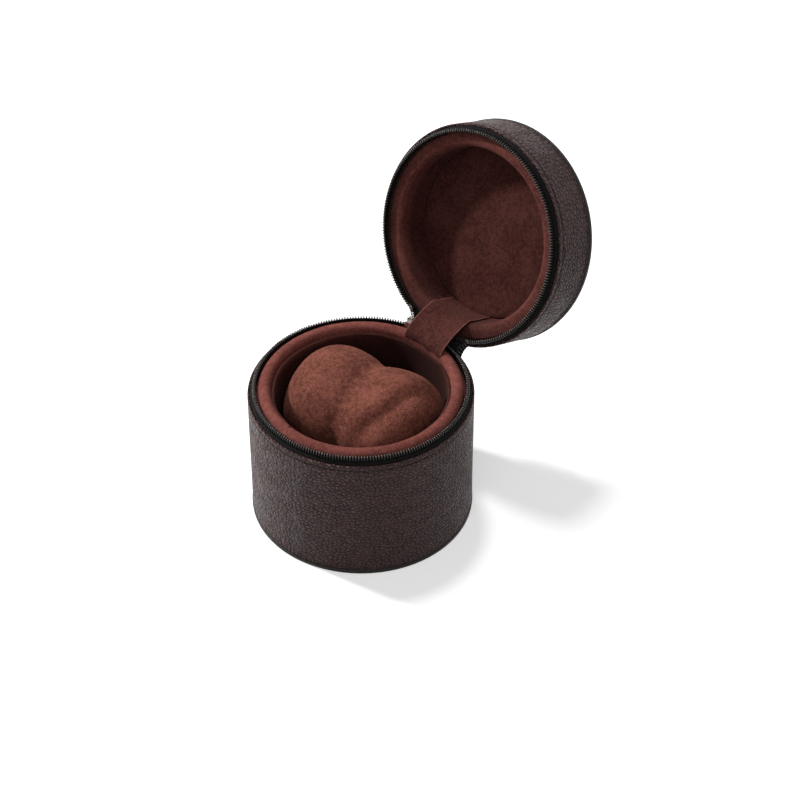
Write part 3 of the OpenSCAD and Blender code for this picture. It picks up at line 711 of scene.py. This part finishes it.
def seamPull(turn):  # 1 on the seam of the base collar's cover, 0 away from it
    s = liningSettings
    away = radians((turn - s["seamAngle"] + 180) % 360 - 180)
    return exp(-((away * s["seamRadius"] / s["seamHalf"]) ** 2))


def anglesWithSeam(at, steps=288):  # even steps, and close ones beside the seam
    fine = [at + d * 0.22 for d in range(-14, 15)]
    shifted = [a + 360 * ceil((90 - a) / 360) for a in fine]
    return sorted(set(spread(90, 450, steps) + [a for a in shifted if 90 < a < 450]))


def baseCollarLoop():
    s = liningSettings
    out, high, back = s["collarOut"], s["crownHigh"], boardIn - s["skin"]
    cr, cz = collarR + s["crownIn"], collarTop - high
    loop = arcOf(cr, cz, s["crownIn"], high, 180, 90, 10)
    loop += arcOf(cr, cz + 0.1, out - cr, high - 0.1, 85, 8, 9)
    foot = [(out, baseTop + 0.6), (out + 0.2, baseTop - 0.7), (back, baseTop - 1.0),
            (back, collarLow), (collarR, collarLow), (collarR, collarLow + 3)]
    return loop + [(r, z, 0.0) for r, z in foot]


def baseCollarShape(turn, r, z):
    wave = liningSettings["wave"]
    if z < collarLow + 2:
        return r, z
    lift = min(1.0, (z - collarLow - 2) / 4)
    pull = seamPull(turn)
    inner = max(0.0, 1 - (r - collarR) / 2.5)
    dz = unevenness(turn, 3.1, wave) - 0.1 - pull * (0.15 + 0.45 * inner)
    dr = unevenness(turn, 7.7, wave) * inner + pull * 0.8 * inner
    return r + dr * lift, z + dz * lift


def lidCollarLoop():
    s = liningSettings
    wide, high, back = s["lidCrownIn"], s["lidCrownHigh"], boardIn - s["skin"]
    cr, cz = collarR + wide, lidCollarZ + high
    loop = arcOf(cr, cz, wide, high, 180, 268, 10)
    loop += [(cr + 1.6, lidCollarZ + 0.02, 0.0), (boardIn - 2.0, lidCollarZ + 0.1, 0.0)]
    loop += arcOf(boardIn - 1.1, lidCollarZ + 1.2, 1.05, 1.05, 275, 355, 5)
    foot = [(back, lidCollarZ + 3), (back, lidCollarFar), (collarR, lidCollarFar), (collarR, lidCollarZ + 5)]
    return loop + [(r, z, 0.0) for r, z in foot]


def lidCollarShape(turn, r, z):
    near = max(0.0, 1 - (z - lidCollarZ) / 5)
    inner = max(0.0, 1 - (r - collarR) / 2.5)
    return (r + unevenness(turn, 1.3, liningSettings["wave"]) * near * inner,
            z + (unevenness(turn, 5.9, 0.1) + 0.08) * near)


def linerLoop():  # the cup's lining, with its rounded lip over the collar
    half = (linerOut - linerR) / 2
    wall = [(linerR, z, 0.0) for z in spread(padLow, lipZ - half, 12)[:-1]]
    # the lip carries a painted highlight
    lip = arcOf(linerR + half, lipZ - half, half, half, 180, 0, 8, 0.5)
    return wall + lip + [(linerOut, lipZ - 8, 0.0), (linerOut, padLow, 0.0)]


def linerShape(turn, r, z):
    s = liningSettings
    near = max(0.0, 1 - (lipZ - z) / 8)
    away = (turn - s["pressedTurn"] + 180) % 360 - 180
    r -= near * s["pressed"] * exp(-(away / s["pressedHalf"]) ** 4)
    return r + (unevenness(turn, 9.3, 0.35) - 0.05) * near, z + (unevenness(turn, 4.4, 0.4) - 0.3) * near


def ceilingShape(turn, r, z):
    if z > ceilingZ + 1.5:
        return r, z
    lump = noise.fractal(onCircle(turn, r, 4.0) * 0.055, 0.5, 2.0, 3)
    return r, z + lump * liningSettings["lump"] * min(1.0, (collarR - r) / 4)


def lidLinerLoop():
    out, middle = collarR + liningSettings["thick"], (lidCollarFar + topBoardLow) / 2
    corners = [(collarR, lidCollarFar), (out, lidCollarFar), (out, topBoardLow), (collarR, topBoardLow),
               (collarR - 0.02, middle)]
    return [(r, z, 0.0) for r, z in corners]


def makeLinings(s):
    turned("baseCollar", ["base_collar", "base_collar_foam"], "base", "suede", baseCollarLoop(), suede,
           0.9, angles=anglesWithSeam(s["seamAngle"]), shape=baseCollarShape)
    turned("lidCollar", ["lid_collar", "lid_collar_foam"], "lid", "suede", lidCollarLoop(), shadedLidSuede,
           0.9, shape=lidCollarShape, brushed=s["brushedLid"])
    turned("baseLiner", ["base_liner"], "base", "suede", linerLoop(), shadedLinerSuede,
           shape=linerShape, brushed=s["brushedCup"])
    turned("lidLiner", ["lid_liner"], "lid", "suede", lidLinerLoop(), shadedCeilingSuede, sharp=50)
    floorDisc = discLoop(linerR - 0.1, floorTop, padLow, rim=s["baseRim"])
    turned("floorPad", ["base_floor_pad"], "base", "suede", floorDisc, suede, 0.8, steps=180)
    ceilingDisc = discLoop(collarR - 0.1, ceilingZ + 0.25, topBoardLow, s["dome"], s["ceilingRim"], 26)
    turned("ceilingPad", ["lid_ceiling_pad"], "lid", "suede", ceilingDisc, shadedCeilingSuede, 0.8,
           steps=180, shape=ceilingShape)


makeLinings(liningSettings)
print("collars, linings and pads made")

# zip tapes and teeth

zipSettings = {
    "pitch": 1.22,  # between neighbouring teeth
    "wire": 0.27, "sides": 6,  # radius of the coil's filament
    "tape": 0.45, "tapeEdge": 0.26,  # thickness of the tape, and of its edge inside the coil
    "baseFree": 9.5, "lidFree": 22.0,  # half angles at the back without coil
    "tapeLonger": 1.5, "coilShorter": 0.4, "steps": 240,  # degrees at each end, steps round the rim
    "jitter": 0.05, "seed": 7,
}


def tapeLoop(edge, far, up):  # section of the tape: flat behind the leather, drawn in under the coil
    s = zipSettings
    back = leatherIn - 0.27
    path = [(back, -3), (back, -1.2), (back - 0.04, -0.3), (back - 0.3, 0.3), (coilMid + 0.75, 0.75),
            (coilMid + 0.25, 1.05), (coilMid + 0.03, 1.5), (coilMid, 2.0), (coilMid, 2.5)]
    path = [(back, far)] + [(r, edge + up * z) for r, z in path]
    return ribbonLoop(path, [s["tape"]] * 5 + [0.4, 0.32] + [s["tapeEdge"]] * 3)


def filament(bm, path, wide, radius, sides):  # swept thread with closed ends
    pts = [Vector(p) for p in path]
    side = Vector((1, 0, 0))
    rings = []
    for i, p in enumerate(pts):
        d = (pts[min(len(pts) - 1, i + 1)] - pts[max(0, i - 1)]).normalized()
        side = (side - d * side.dot(d)).normalized()
        up = d.cross(side)
        turns = [2 * pi * k / sides for k in range(sides)]
        rings.append([bm.verts.new(p + side * (cos(a) * radius * wide[i]) + up * (sin(a) * radius))
                      for a in turns])
    for a, b in zip(rings, rings[1:]):
        for k in range(sides):
            bm.faces.new((a[k], a[(k + 1) % sides], b[(k + 1) % sides], b[k]))
    bm.faces.new(rings[0][::-1])
    bm.faces.new(rings[-1])


def makeTooth(s):  # one turn of the coil: X along the rim, Y outwards, Z towards the tip
    high, out = seamZ - 0.05 - coilFoot, (coilOut - coilIn) / 2 - s["wire"]
    straight = high - out - s["wire"]
    path = [(-s["pitch"] * 0.5 * (1 - k / 2.5), -out, k / 2 * straight) for k in range(3)]
    bend = [pi - pi * (k + 0.5) / 5 for k in range(5)]
    path += [(0, out * cos(a), straight + out * sin(a)) for a in bend]
    path += [(0, out, (1 - k / 2) * straight) for k in range(3)]
    bm = bmesh.new()
    filament(bm, path, [1.0] * 3 + [1.1] * 5 + [1.0] * 3, s["wire"], s["sides"])
    # the painted highlight lies on the top of each turn
    tipHighlight = bm.verts.layers.float.new("wearAndPaintedLight")
    for v in bm.verts:
        v[tipHighlight] = max(0.0, min(1.0, (v.co.z - high + 0.75) / 0.6))
    bmesh.ops.recalc_face_normals(bm, faces=bm.faces)
    tooth = finishMesh("tooth", bm, coilNylon)
    scene.collection.objects.unlink(tooth)
    return tooth


def makeRepeatTree():  # repeats an item along a path whose points carry an outward direction
    tree = bpy.data.node_groups.new("repeatAlongPath", "GeometryNodeTree")
    for label, kind, value in [
            ("Geometry", "Geometry", None), ("Item", "Object", None), ("Spacing", "Float", 0.001),
            ("Jitter", "Float", 0.0), ("Seed", "Int", 1), ("Finish", "Material", None)]:
        socket = tree.interface.new_socket(name=label, in_out="INPUT", socket_type="NodeSocket" + kind)
        if value is not None:
            socket.default_value = value
    tree.interface.new_socket(name="Geometry", in_out="OUTPUT", socket_type="NodeSocketGeometry")
    given, end = put(tree, "NodeGroupInput"), tree.nodes.new("NodeGroupOutput")
    curve = put(tree, "GeometryNodeMeshToCurve", {"Mesh": given["Geometry"]})[0]
    even = put(tree, "GeometryNodeResampleCurve", {"Curve": curve, "Length": given["Spacing"]},
               mode="LENGTH")[0]
    outward = put(tree, "GeometryNodeInputNamedAttribute", {"Name": "outward"},
                  data_type="FLOAT_VECTOR")[0]
    along = put(tree, "FunctionNodeAlignRotationToVector",
                {"Vector": put(tree, "GeometryNodeInputTangent")[0]}, axis="X")[0]
    facing = put(tree, "FunctionNodeAlignRotationToVector", {"Rotation": along, "Vector": outward},
                 axis="Y", pivot_axis="X")[0]
    least = calc(tree, "SUBTRACT", 1.0, given["Jitter"])
    size = put(tree, "FunctionNodeRandomValue", {2: least, 3: 1.0, "Seed": given["Seed"]},
               data_type="FLOAT")[1]
    item = put(tree, "GeometryNodeObjectInfo", {"Object": given["Item"]})["Geometry"]
    many = put(tree, "GeometryNodeInstanceOnPoints",
               {"Points": even, "Instance": item, "Rotation": facing, "Scale": size})[0]
    real = put(tree, "GeometryNodeRealizeInstances", {0: many})[0]
    done = put(tree, "GeometryNodeSetMaterial", {"Geometry": real, "Material": given["Finish"]})[0]
    tree.links.new(done, end.inputs[0])
    return tree


repeatTree = makeRepeatTree()
tooth = makeTooth(zipSettings)


def teethAlong(name, points, outwards, seed):  # points in mm; the result is kept as a plain mesh
    mesh = bpy.data.meshes.new(name)
    mesh.from_pydata([Vector(p) * mm for p in points], [(k, k + 1) for k in range(len(points) - 1)], [])
    attribute = mesh.attributes.new("outward", "FLOAT_VECTOR", "POINT")
    attribute.data.foreach_set("vector", [c for v in outwards for c in v])
    obj = addObject(name, mesh)
    mod = obj.modifiers.new("repeat", "NODES")
    mod.node_group = repeatTree
    values = {"Item": tooth, "Spacing": zipSettings["pitch"] * mm, "Jitter": zipSettings["jitter"],
              "Seed": seed, "Finish": coilNylon}
    for socket in repeatTree.interface.items_tree:
        if socket.in_out == "INPUT" and socket.name in values:
            mod[socket.identifier] = values[socket.name]
    obj.data = applied(obj)
    bpy.data.meshes.remove(mesh)
    obj.data.name = name
    smooth(obj.data)
    return obj


def rimTeeth(name, node, body, turns, z, seed):  # a row of teeth round the rim
    place = openLid if body == "lid" else Matrix.Identity(4)
    points = [place @ onCircle(t, coilMid, z) for t in turns]
    teeth = teethAlong(name, points, [place.to_3x3() @ onCircle(t) for t in turns], seed)
    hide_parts(node)
    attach(teeth, body)
    return len(teeth.data.polygons)


def makeZip(s):
    def ends(free):
        return 90 + free, 450 - free

    for name, node, body, free, loop in [
            ("baseTape", "base_zip_tape", "base", s["baseFree"], tapeLoop(baseTop, tapeLow, 1)),
            ("lidTape", "lid_zip_tape", "lid", s["lidFree"], tapeLoop(lidEdge, lidTapeFar, -1))]:
        turned(name, [node], body, "zip_tape", loop, tapeCloth, arc=ends(free - s["tapeLonger"]),
               steps=s["steps"], sharp=60)
    base = spread(*ends(s["baseFree"] + s["coilShorter"]), s["steps"])[::-1]
    lid = spread(*ends(s["lidFree"] + s["coilShorter"]), s["steps"])
    count = rimTeeth("baseTeeth", "base_zip_coil", "base", base, coilFoot, s["seed"])
    count += rimTeeth("lidTeeth", "lid_zip_coil", "lid", lid, 2 * seamZ - coilFoot, s["seed"] + 1)
    print("zip made:", count, "faces of teeth")


makeZip(zipSettings)

# hinge: leather strip outside and suede strap inside

hingeSettings = {
    "halfAngle": 7.0, "thick": 0.7, "skin": 0.05, "land": 1.0, "end": 0.95,
    "bend": 1.2, "widen": 1.4, "cols": 24, "turnSteps": 24,
    "turnFrom": 48.3, "turnTo": 51.0,  # y where the soft pieces begin and end beside the hinge
}
cosOpen, sinOpen = cos(radians(openAngle)), sin(radians(openAngle))


def swing(y, z):  # (y, z) of a shut lid point once the lid is open
    p = openLid @ Vector((0, y, z))
    return Vector((p.y, p.z))


def hingePath(x, off, span):
    s = hingeSettings
    r = leatherIn - s["thick"] / 2 - s["skin"]
    a = Vector((sqrt(r * r - x * x), baseTop - s["land"]))
    b = swing(a.x, lidEdge + s["end"])
    bend = s["bend"] + s["widen"] * (x / span) ** 2
    runB = (b.x - a.x - bend * (1 - cosOpen)) / sinOpen
    runA = b.y - a.y - bend * sinOpen - runB * cosOpen
    path = [(a.x - off, a.y), (a.x - off, a.y + runA * 0.5)]
    for t in spread(0, radians(openAngle), s["turnSteps"]):
        path.append((a.x + bend - (bend + off) * cos(t), a.y + runA + (bend + off) * sin(t)))
    path.append((b.x - off * cosOpen, b.y + off * sinOpen))
    return path


def hingeGrid(side):
    s = hingeSettings
    span = caseR * sin(radians(s["halfAngle"]))
    xs = spread(-span, span, s["cols"])
    paths = [hingePath(x, side * s["thick"] / 2, span) for x in xs]
    return [[(x, *p) for x, p in zip(xs, row)] for row in zip(*paths)]


def followHinge(piece):  # bakes the piece's placement into its mesh
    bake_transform(piece)


hingeLeather = sheetBetween("hingeLeather", hingeGrid(-1), hingeGrid(1), leather, sharp=50)
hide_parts("hinge_leather")
followHinge(hingeLeather)

webSettings = {
    "wide": (5.2, 17.9),  # the zip's joined end beside the hinge, mm from the middle
    "narrow": (-7.4, -5.2),  # and the bare tape on the slider's side
    "thick": 0.5, "cols": 14, "narrowCols": 3, "rows": 18, "bulge": 1.4, "land": 0.15, "teeth": 24,
}


def bezier(a, b, c, d, t):
    u = 1 - t
    return a * u ** 3 + b * (3 * u * u * t) + c * (3 * u * t * t) + d * t ** 3


def across(line, t, last):  # the direction square to a line of (y, z), at t from 0 to the last
    d = line(min(last, t + 0.01)) - line(max(0, t - 0.01))
    return Vector((-d.y, d.x)).normalized()


def webLine(x, s):  # from inside the base's leather at 0, out and up to inside the lid's at 1
    r, land = leatherIn - 0.35, s["land"]
    y = sqrt(r * r - x * x)
    low, rise = Vector((y, baseTop - 1.6)), Vector((y, baseTop + 0.3))
    far, end = swing(y, lidEdge - 0.3), swing(y, lidEdge + 1.6)
    lift = Vector((0, 1.6 + s["bulge"]))
    out = (swing(y, lidEdge - 3.2 - s["bulge"]) - far) * 0.9

    def line(t):
        if t < land:
            return low + (rise - low) * (t / land)
        if t > 1 - land:
            return far + (end - far) * ((t - 1 + land) / land)
        return bezier(rise, rise + lift, far + out, far, (t - land) / (1 - 2 * land))

    return line


def webSheet(name, first, last, cols, s):
    lines = [(x, webLine(x, s)) for x in spread(first, last, cols)]

    def grid(off):
        return [[(x, *(line(t) + across(line, t, 1) * off)) for x, line in lines]
                for t in spread(0, 1, s["rows"])]

    return sheetBetween(name, grid(s["thick"] / 2), grid(-s["thick"] / 2), tapeCloth, sharp=60)


def webTeeth(s):
    x = s["wide"][1]
    line, ts = webLine(x, s), spread(0.12, 0.88, s["teeth"])
    outs = [Vector((0, *-across(line, t, 1))) for t in ts]
    return teethAlong("zipWebTeeth", [Vector((x - 0.2, *line(t))) for t in ts], outs, 5)


chainSettings = {  # the lid's coil running down into the parked slider, mm
    "from": (-12.6, 47.2, 68.0), "mid": (-14.8, 49.6, 69.0), "width": 2.6, "thick": 0.5, "steps": 14,
}


def makeChain(s):
    start, mid = Vector(s["from"]), Vector(s["mid"])
    end = openLid @ onCircle(90 + zipSettings["lidFree"], coilMid, 2 * seamZ - coilFoot)
    side = openLid.to_3x3() @ Vector((0, 0, 1))
    points, outs, face, back = [], [], [], []
    for u in spread(0, 1, s["steps"]):
        a, b = start.lerp(mid, u), mid.lerp(end, u)
        p, run = a.lerp(b, u), (b - a).normalized()
        down = Vector((0, 0, -1)).lerp(side, u)
        down = (down - run * run.dot(down)).normalized()
        out = run.cross(down).normalized()
        points.append(p)
        outs.append(out)
        for row, half in ((face, s["thick"] / 2), (back, -s["thick"] / 2)):
            row.append([p + out * half, p + out * half + down * s["width"]])
    tape = sheetBetween("zipTail", face, back, tapeCloth, sharp=60)
    return tape, teethAlong("zipTailTeeth", points, outs, 9)


strapSettings = {
    "width": 22.4, "shift": 0.8, "thick": 0.9, "edge": 0.35,
    "clear": 0.35, "skin": 0.15, "rise": 3.2, "reach": (6.0, 0.6), "turn": 2.2, "lands": 5.5,
    "crown": 2.3, "rows": 96, "cols": 30,
    "bendFrom": (0, 41 * mm, 66 * mm), "bendTo": (0, 56.5 * mm, 74 * mm),
}


def strapLine(s):  # gives the strap's middle line, from 0 in the cup to 4 at the ceiling
    half = s["thick"] / 2
    root, wallR = linerOut + s["skin"] + half, collarR - half - s["skin"]
    low, mouth = Vector((root, collarLow + 0.5)), Vector((root, collarTop - 1.2))
    crest = swing(collarR + s["crown"], lidCollarZ + s["crown"])
    crest += Vector((-0.2, s["crown"] + half + s["clear"]))
    wall, end = swing(wallR, lidCollarZ + s["lands"]), swing(wallR, ceilingZ - 0.2)
    down = (end - wall).normalized()

    def line(t):
        if t <= 1:
            return low + (mouth - low) * t
        if t <= 2:
            return bezier(mouth, mouth + Vector((0, s["rise"])), crest - Vector(s["reach"]), crest, t - 1)
        if t <= 3:
            return bezier(crest, crest + Vector((s["turn"], 0.2)), wall - down * s["turn"], wall, t - 2)
        return wall + (end - wall) * (t - 3)

    return line, root, wallR


def makeStrap(s):
    line, root, wallR = strapLine(s)
    cuts = spread(-1, 1, s["cols"])
    # the cut edges are lighter: wear with a painted highlight
    wornAndHighlight = [1.0 if abs(c) > 0.985 else 0.0 for c in cuts]
    # the outermost columns are drawn in, so that the cut edges are rounded
    sides = [(s["shift"] + c * s["width"] / 2, s["edge"] if abs(c) > 0.999 else 1.0) for c in cuts]
    ts = spread(0, 4, s["rows"])

    def point(x, t, off):
        p, r = line(t), root if t < 1.5 else wallR
        over = min(1.0, max(0.0, t - 1))
        a = radians(180 - openAngle * over)
        bow = (r - sqrt(r * r - x * x)) * (1 - 0.2 * sin(pi * over))
        return (x, *(p + Vector((cos(a), sin(a))) * bow + across(line, t, 4) * off))

    face, back = ([[point(x, t, half * share) for x, share in sides] for t in ts]
                  for half in (s["thick"] / 2, -s["thick"] / 2))
    length = sum((line(b) - line(a)).length for a, b in zip(ts, ts[1:]))
    return sheetBetween("hingeStrap", face, back, shadedStrapSuede, wearAndPaintedLight=wornAndHighlight, sharp=70), length


zipWeb = webSheet("zipWeb", *webSettings["wide"], webSettings["cols"], webSettings)
zipWebNarrow = webSheet("zipWebNarrow", *webSettings["narrow"], webSettings["narrowCols"], webSettings)
zipWebTeeth = webTeeth(webSettings)
zipTail, zipTailTeeth = makeChain(chainSettings)
for piece, slot in ((zipWeb, "zip_tape"), (zipWebNarrow, "zip_tape"), (zipWebTeeth, "zip_coil"),
                    (zipTail, "zip_tape"), (zipTailTeeth, "zip_coil")):
    followHinge(piece)
hingeStrap, strapLength = makeStrap(strapSettings)
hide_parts("hinge_strap")
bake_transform(hingeStrap)
print("hinge made, strap length", round(strapLength, 1), "mm")

# cushion

cushionSettings = {
    "length": 70.4, "diameter": 53.0, "waist": 0.12, "waistHalf": 13.0, "power": 3.2,
    "turn": 10.0, "shift": 2.0, "shrink": 1.7,  # the cover starts this much smaller and swells
    "clear": 0.3, "sunk": 0.2, "flat": 0.4,  # from the floor pad, into it, and flattened on it
    "rings": 60, "steps": 96, "voxel": 1.7, "scale": 20.0,
    "pressure": 4.0, "cap": 1.1, "frames": 20, "heldFoot": 0.8, "heldWaist": 3.5,
}


def cushionProfile(s):
    half = s["length"] / 2 - s["shrink"]
    raw = []
    for k in range(1, s["rings"]):
        x = half * sin(radians(-90 + 180 * k / s["rings"]))
        body = (1 - abs(x / half) ** s["power"]) ** (1 / s["power"])
        raw.append((x, body * (1 - s["waist"] * exp(-((x / s["waistHalf"]) ** 2)))))
    fullest = max(p for _, p in raw)
    radius = s["diameter"] / 2 - s["shrink"]
    return [(-half, 0.0)] + [(x, radius * p / fullest) for x, p in raw] + [(half, 0.0)]


def makeCushion(s):
    bm, steps, rings = bmesh.new(), s["steps"], []
    turns = [2 * pi * k / steps for k in range(steps)]
    for x, r in cushionProfile(s):
        if r == 0:
            rings.append([bm.verts.new((x, 0, 0))] * steps)
            continue
        rings.append([bm.verts.new((x, r * cos(a), r * sin(a))) for a in turns])
    for a, b in zip(rings, rings[1:]):
        for k in range(steps):
            ring = [a[k], a[(k + 1) % steps], b[(k + 1) % steps], b[k]]
            bm.faces.new([v for n, v in enumerate(ring) if v not in ring[:n]])
    bmesh.ops.recalc_face_normals(bm, faces=bm.faces)
    centre = Vector((0, s["shift"], floorTop + s["diameter"] / 2 - s["sunk"]))
    place = Matrix.Translation(centre) @ Matrix.Rotation(radians(s["turn"]), 4, "Z")
    bmesh.ops.transform(bm, matrix=place, verts=bm.verts)
    low = floorTop + s["clear"]
    for v in bm.verts:  # flat where it lies on the floor pad
        if v.co.z < low + s["flat"]:
            v.co.z = low + max(0.0, v.co.z - low) * 0.5
    return finishMesh("cushion", bm, cushionSuede), place


def heldShare(x, z, s):  # the cover is held at its waist and under its foot
    foot = 1.0 if z < (floorTop + s["clear"] + s["heldFoot"]) * mm else 0.0
    return max(exp(-((x / s["heldWaist"]) ** 2)) * 0.9, foot)


def puffCushion(obj, s, place):  # cloth simulation of the cover, at a larger scale, then capped
    mesh, back = obj.data, place.inverted()
    mod = obj.modifiers.new("remesh", "REMESH")
    mod.mode, mod.voxel_size = "VOXEL", s["voxel"] * mm
    even = obj.data = applied(obj)
    start = [v.co.copy() for v in even.vertices]
    held = obj.vertex_groups.new(name="held")
    for v in even.vertices:
        weight = heldShare((back @ (v.co / mm)).x, v.co.z, s)
        if weight > 0.02:
            held.add([v.index], weight, "REPLACE")
        v.co = v.co * s["scale"]
    cloth = obj.modifiers.new("cloth", "CLOTH")
    c = cloth.settings
    c.quality, c.mass, c.tension_stiffness, c.compression_stiffness = 6, 0.3, 12, 12
    c.bending_stiffness = 0.4
    c.use_pressure, c.uniform_pressure_force = True, s["pressure"]
    c.shrink_min = -0.06
    c.vertex_group_mass = "held"
    c.effector_weights.gravity = 0
    cloth.point_cache.frame_start, cloth.point_cache.frame_end = 1, s["frames"]
    for frameNumber in range(1, s["frames"] + 1):
        scene.frame_set(frameNumber)
    obj.data = applied(obj)
    scene.frame_set(1)
    cap = s["cap"] * mm
    for v, rest in zip(obj.data.vertices, start):
        moved = v.co / s["scale"] - rest
        far = moved.length
        if far > cap:
            moved *= cap * (1 + 0.15 * tanh((far - cap) / cap)) / far
        v.co = rest + moved
        v.co.z = max(v.co.z, (floorTop + s["clear"]) * mm)
    obj.vertex_groups.clear()
    bpy.data.meshes.remove(mesh)
    bpy.data.meshes.remove(even)


foldSettings = {  # soft fold pressed into the cushion, (x, y) of its line seen from above, mm
    "line": [(12.7, -22.3), (17.5, -17.2), (22.0, -10.7), (24.0, -2.1),
             (24.2, 8.0), (27.0, 15.5), (27.1, 23.1)],
    "depth": 1.7, "half": 2.6, "swell": 0.7, "swellAt": 6.5, "swellHalf": 3.0,
}


def nearestOn(line, p):  # distance from a line of points, and how far along it
    found = []
    for k, (a, b) in enumerate(zip(line, line[1:])):
        run = b - a
        t = max(0.0, min(1.0, (p - a).dot(run) / run.length_squared))
        found.append(((p - (a + run * t)).length, k + t))
    return min(found)


def foldCushion(obj, s):
    line = [Vector(p) for p in s["line"]]
    moves = []
    for v in obj.data.vertices:
        if v.normal.z < 0.05:
            continue
        far, at = nearestOn(line, (v.co / mm).xy)
        ends = sqrt(sin(pi * min(1.0, max(0.0, at / (len(line) - 1)))))
        lift = s["swell"] * exp(-(((far - s["swellAt"]) / s["swellHalf"]) ** 2))
        lift -= s["depth"] * exp(-((far / s["half"]) ** 2))
        moves.append((v, v.normal * (lift * ends * mm)))
    for v, move in moves:
        v.co += move


cushion, cushionPlace = makeCushion(cushionSettings)
puffCushion(cushion, cushionSettings, cushionPlace)
foldCushion(cushion, foldSettings)
subdivide = cushion.modifiers.new("smooth", "SUBSURF")
subdivide.levels = subdivide.render_levels = 1
smooth(cushion.data)
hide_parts("cushion_cover", "cushion_core")
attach(cushion, "cushion")
print("cushion made")

# slider, pull and clips

for name, node, body, material, slot, bevel, how in (
        ("sliderBody", "slider_body", "slider", nickel, "zip_metal", 0.12, {}),
        ("sliderCrown", "slider_crown", "slider", nickel, "zip_metal", 0.1, {}),
        ("pullLink", "pull_link", "link", nickel, "zip_metal", 0.03, {"sharp": 60}),
        ("pullTab", "pull_tab", "tab", tabLeather, "leather", 0.28, {"steps": 3, "mapped": True}),
        ("pullRivet", "pull_rivet", "tab", nickel, "zip_metal", 0.09, {}),
        ("baseStops", "base_zip_stops", "base", dullNickel, "zip_metal", 0.12, {}),
        ("lidStops", "lid_zip_stops", "lid", dullNickel, "zip_metal", 0.12, {})):
    piece = dressedCopy(name, node, material, bevel, **how)
    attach(piece, body)
print("slider and pull made")

# hidden boards and foam keep their solids and get their own materials

for node, material in (
        ("base_wall_board", board), ("base_bottom_board", board), ("lid_wall_board", board),
        ("lid_top_board", board), ("base_wall_padding", foam), ("lid_wall_padding", foam),
        ("base_seat_block", foam)):
    data = frame["nodes"][node].data
    data.materials.clear()
    data.materials.append(material)
print("hidden solids dressed")

# floor, lamps and world

studioSettings = {
    "keyFrom": (-660.0, -200.0, 560.0), "keyTo": (0.0, 0.0, 60.0), "keyWatts": 6.6, "keySize": 90.0,  # mm
    "topFrom": (-0.29, 0.15, 1.0), "topStrength": 1.05, "topSize": 8.0,  # degrees
    "fillFrom": (0.5, -0.62, 0.85), "fillStrength": 0.62, "fillSize": 45.0,
    "world": 0.19, "floorHalf": 2000.0, "floorDrop": 0.05,  # mm
    "floorSeen": (0.9, 0.9, 0.9, 1.0), "floorBounce": (0.3, 0.3, 0.3, 1.0), "floorGlow": 0.46,
}


def seenMask(tree):  # 1 for rays from the camera and through or off the object, 0 for its light
    path = put(tree, "ShaderNodeLightPath")
    seen = calc(tree, "MAXIMUM", path["Is Camera Ray"], path["Is Glossy Ray"])
    return calc(tree, "MAXIMUM", seen, path["Is Transmission Ray"])


def makeFloor(s):
    bm = bmesh.new()
    bmesh.ops.create_grid(bm, x_segments=8, y_segments=8, size=s["floorHalf"],
                          matrix=Matrix.Translation((0, 0, -s["floorDrop"])))
    mat, tree = newMaterial("floorPaper", {"Roughness": 0.9, "Specular IOR Level": 0.1})
    seen, paper = seenMask(tree), tree.nodes["Principled BSDF"]
    colour = blendColour(tree, seen, s["floorBounce"], s["floorSeen"])
    tree.links.new(colour, paper.inputs["Base Color"])
    glow = put(tree, "ShaderNodeEmission", {
        "Color": (1, 1, 1, 1), "Strength": times(tree, seen, s["floorGlow"])})
    both = put(tree, "ShaderNodeAddShader", {0: paper.outputs[0], 1: glow[0]})
    tree.links.new(both[0], tree.nodes["Material Output"].inputs["Surface"])
    finishMesh("floor", bm, mat)


def makeWorld(s):
    world = scene.world = bpy.data.worlds.new("studio")
    world.use_nodes = True
    tree = world.node_tree
    plain = tree.nodes["Background"]
    plain.inputs["Color"].default_value = (1, 1, 1, 1)
    plain.inputs["Strength"].default_value = s["world"]
    white = put(tree, "ShaderNodeBackground", {"Color": (1, 1, 1, 1), "Strength": 1.0})
    mix = put(tree, "ShaderNodeMixShader", {0: seenMask(tree), 1: plain.outputs[0], 2: white[0]})
    tree.links.new(mix[0], tree.nodes["World Output"].inputs["Surface"])


def makeLamps(s):
    key = bpy.data.lights.new("key", "AREA")
    key.energy, key.size, key.shape = s["keyWatts"], s["keySize"] * mm, "DISK"
    lamp = addObject("key", key)
    lamp.location = Vector(s["keyFrom"]) * mm
    turnTo(lamp, "Z", Vector(s["keyFrom"]) - Vector(s["keyTo"]))
    for name in ("top", "fill"):
        light = bpy.data.lights.new(name, "SUN")
        light.energy, light.angle = s[name + "Strength"], radians(s[name + "Size"])
        turnTo(addObject(name, light), "Z", Vector(s[name + "From"]))


makeFloor(studioSettings)
makeWorld(studioSettings)
makeLamps(studioSettings)
bpy.data.objects.remove(tooth)
print("studio set")
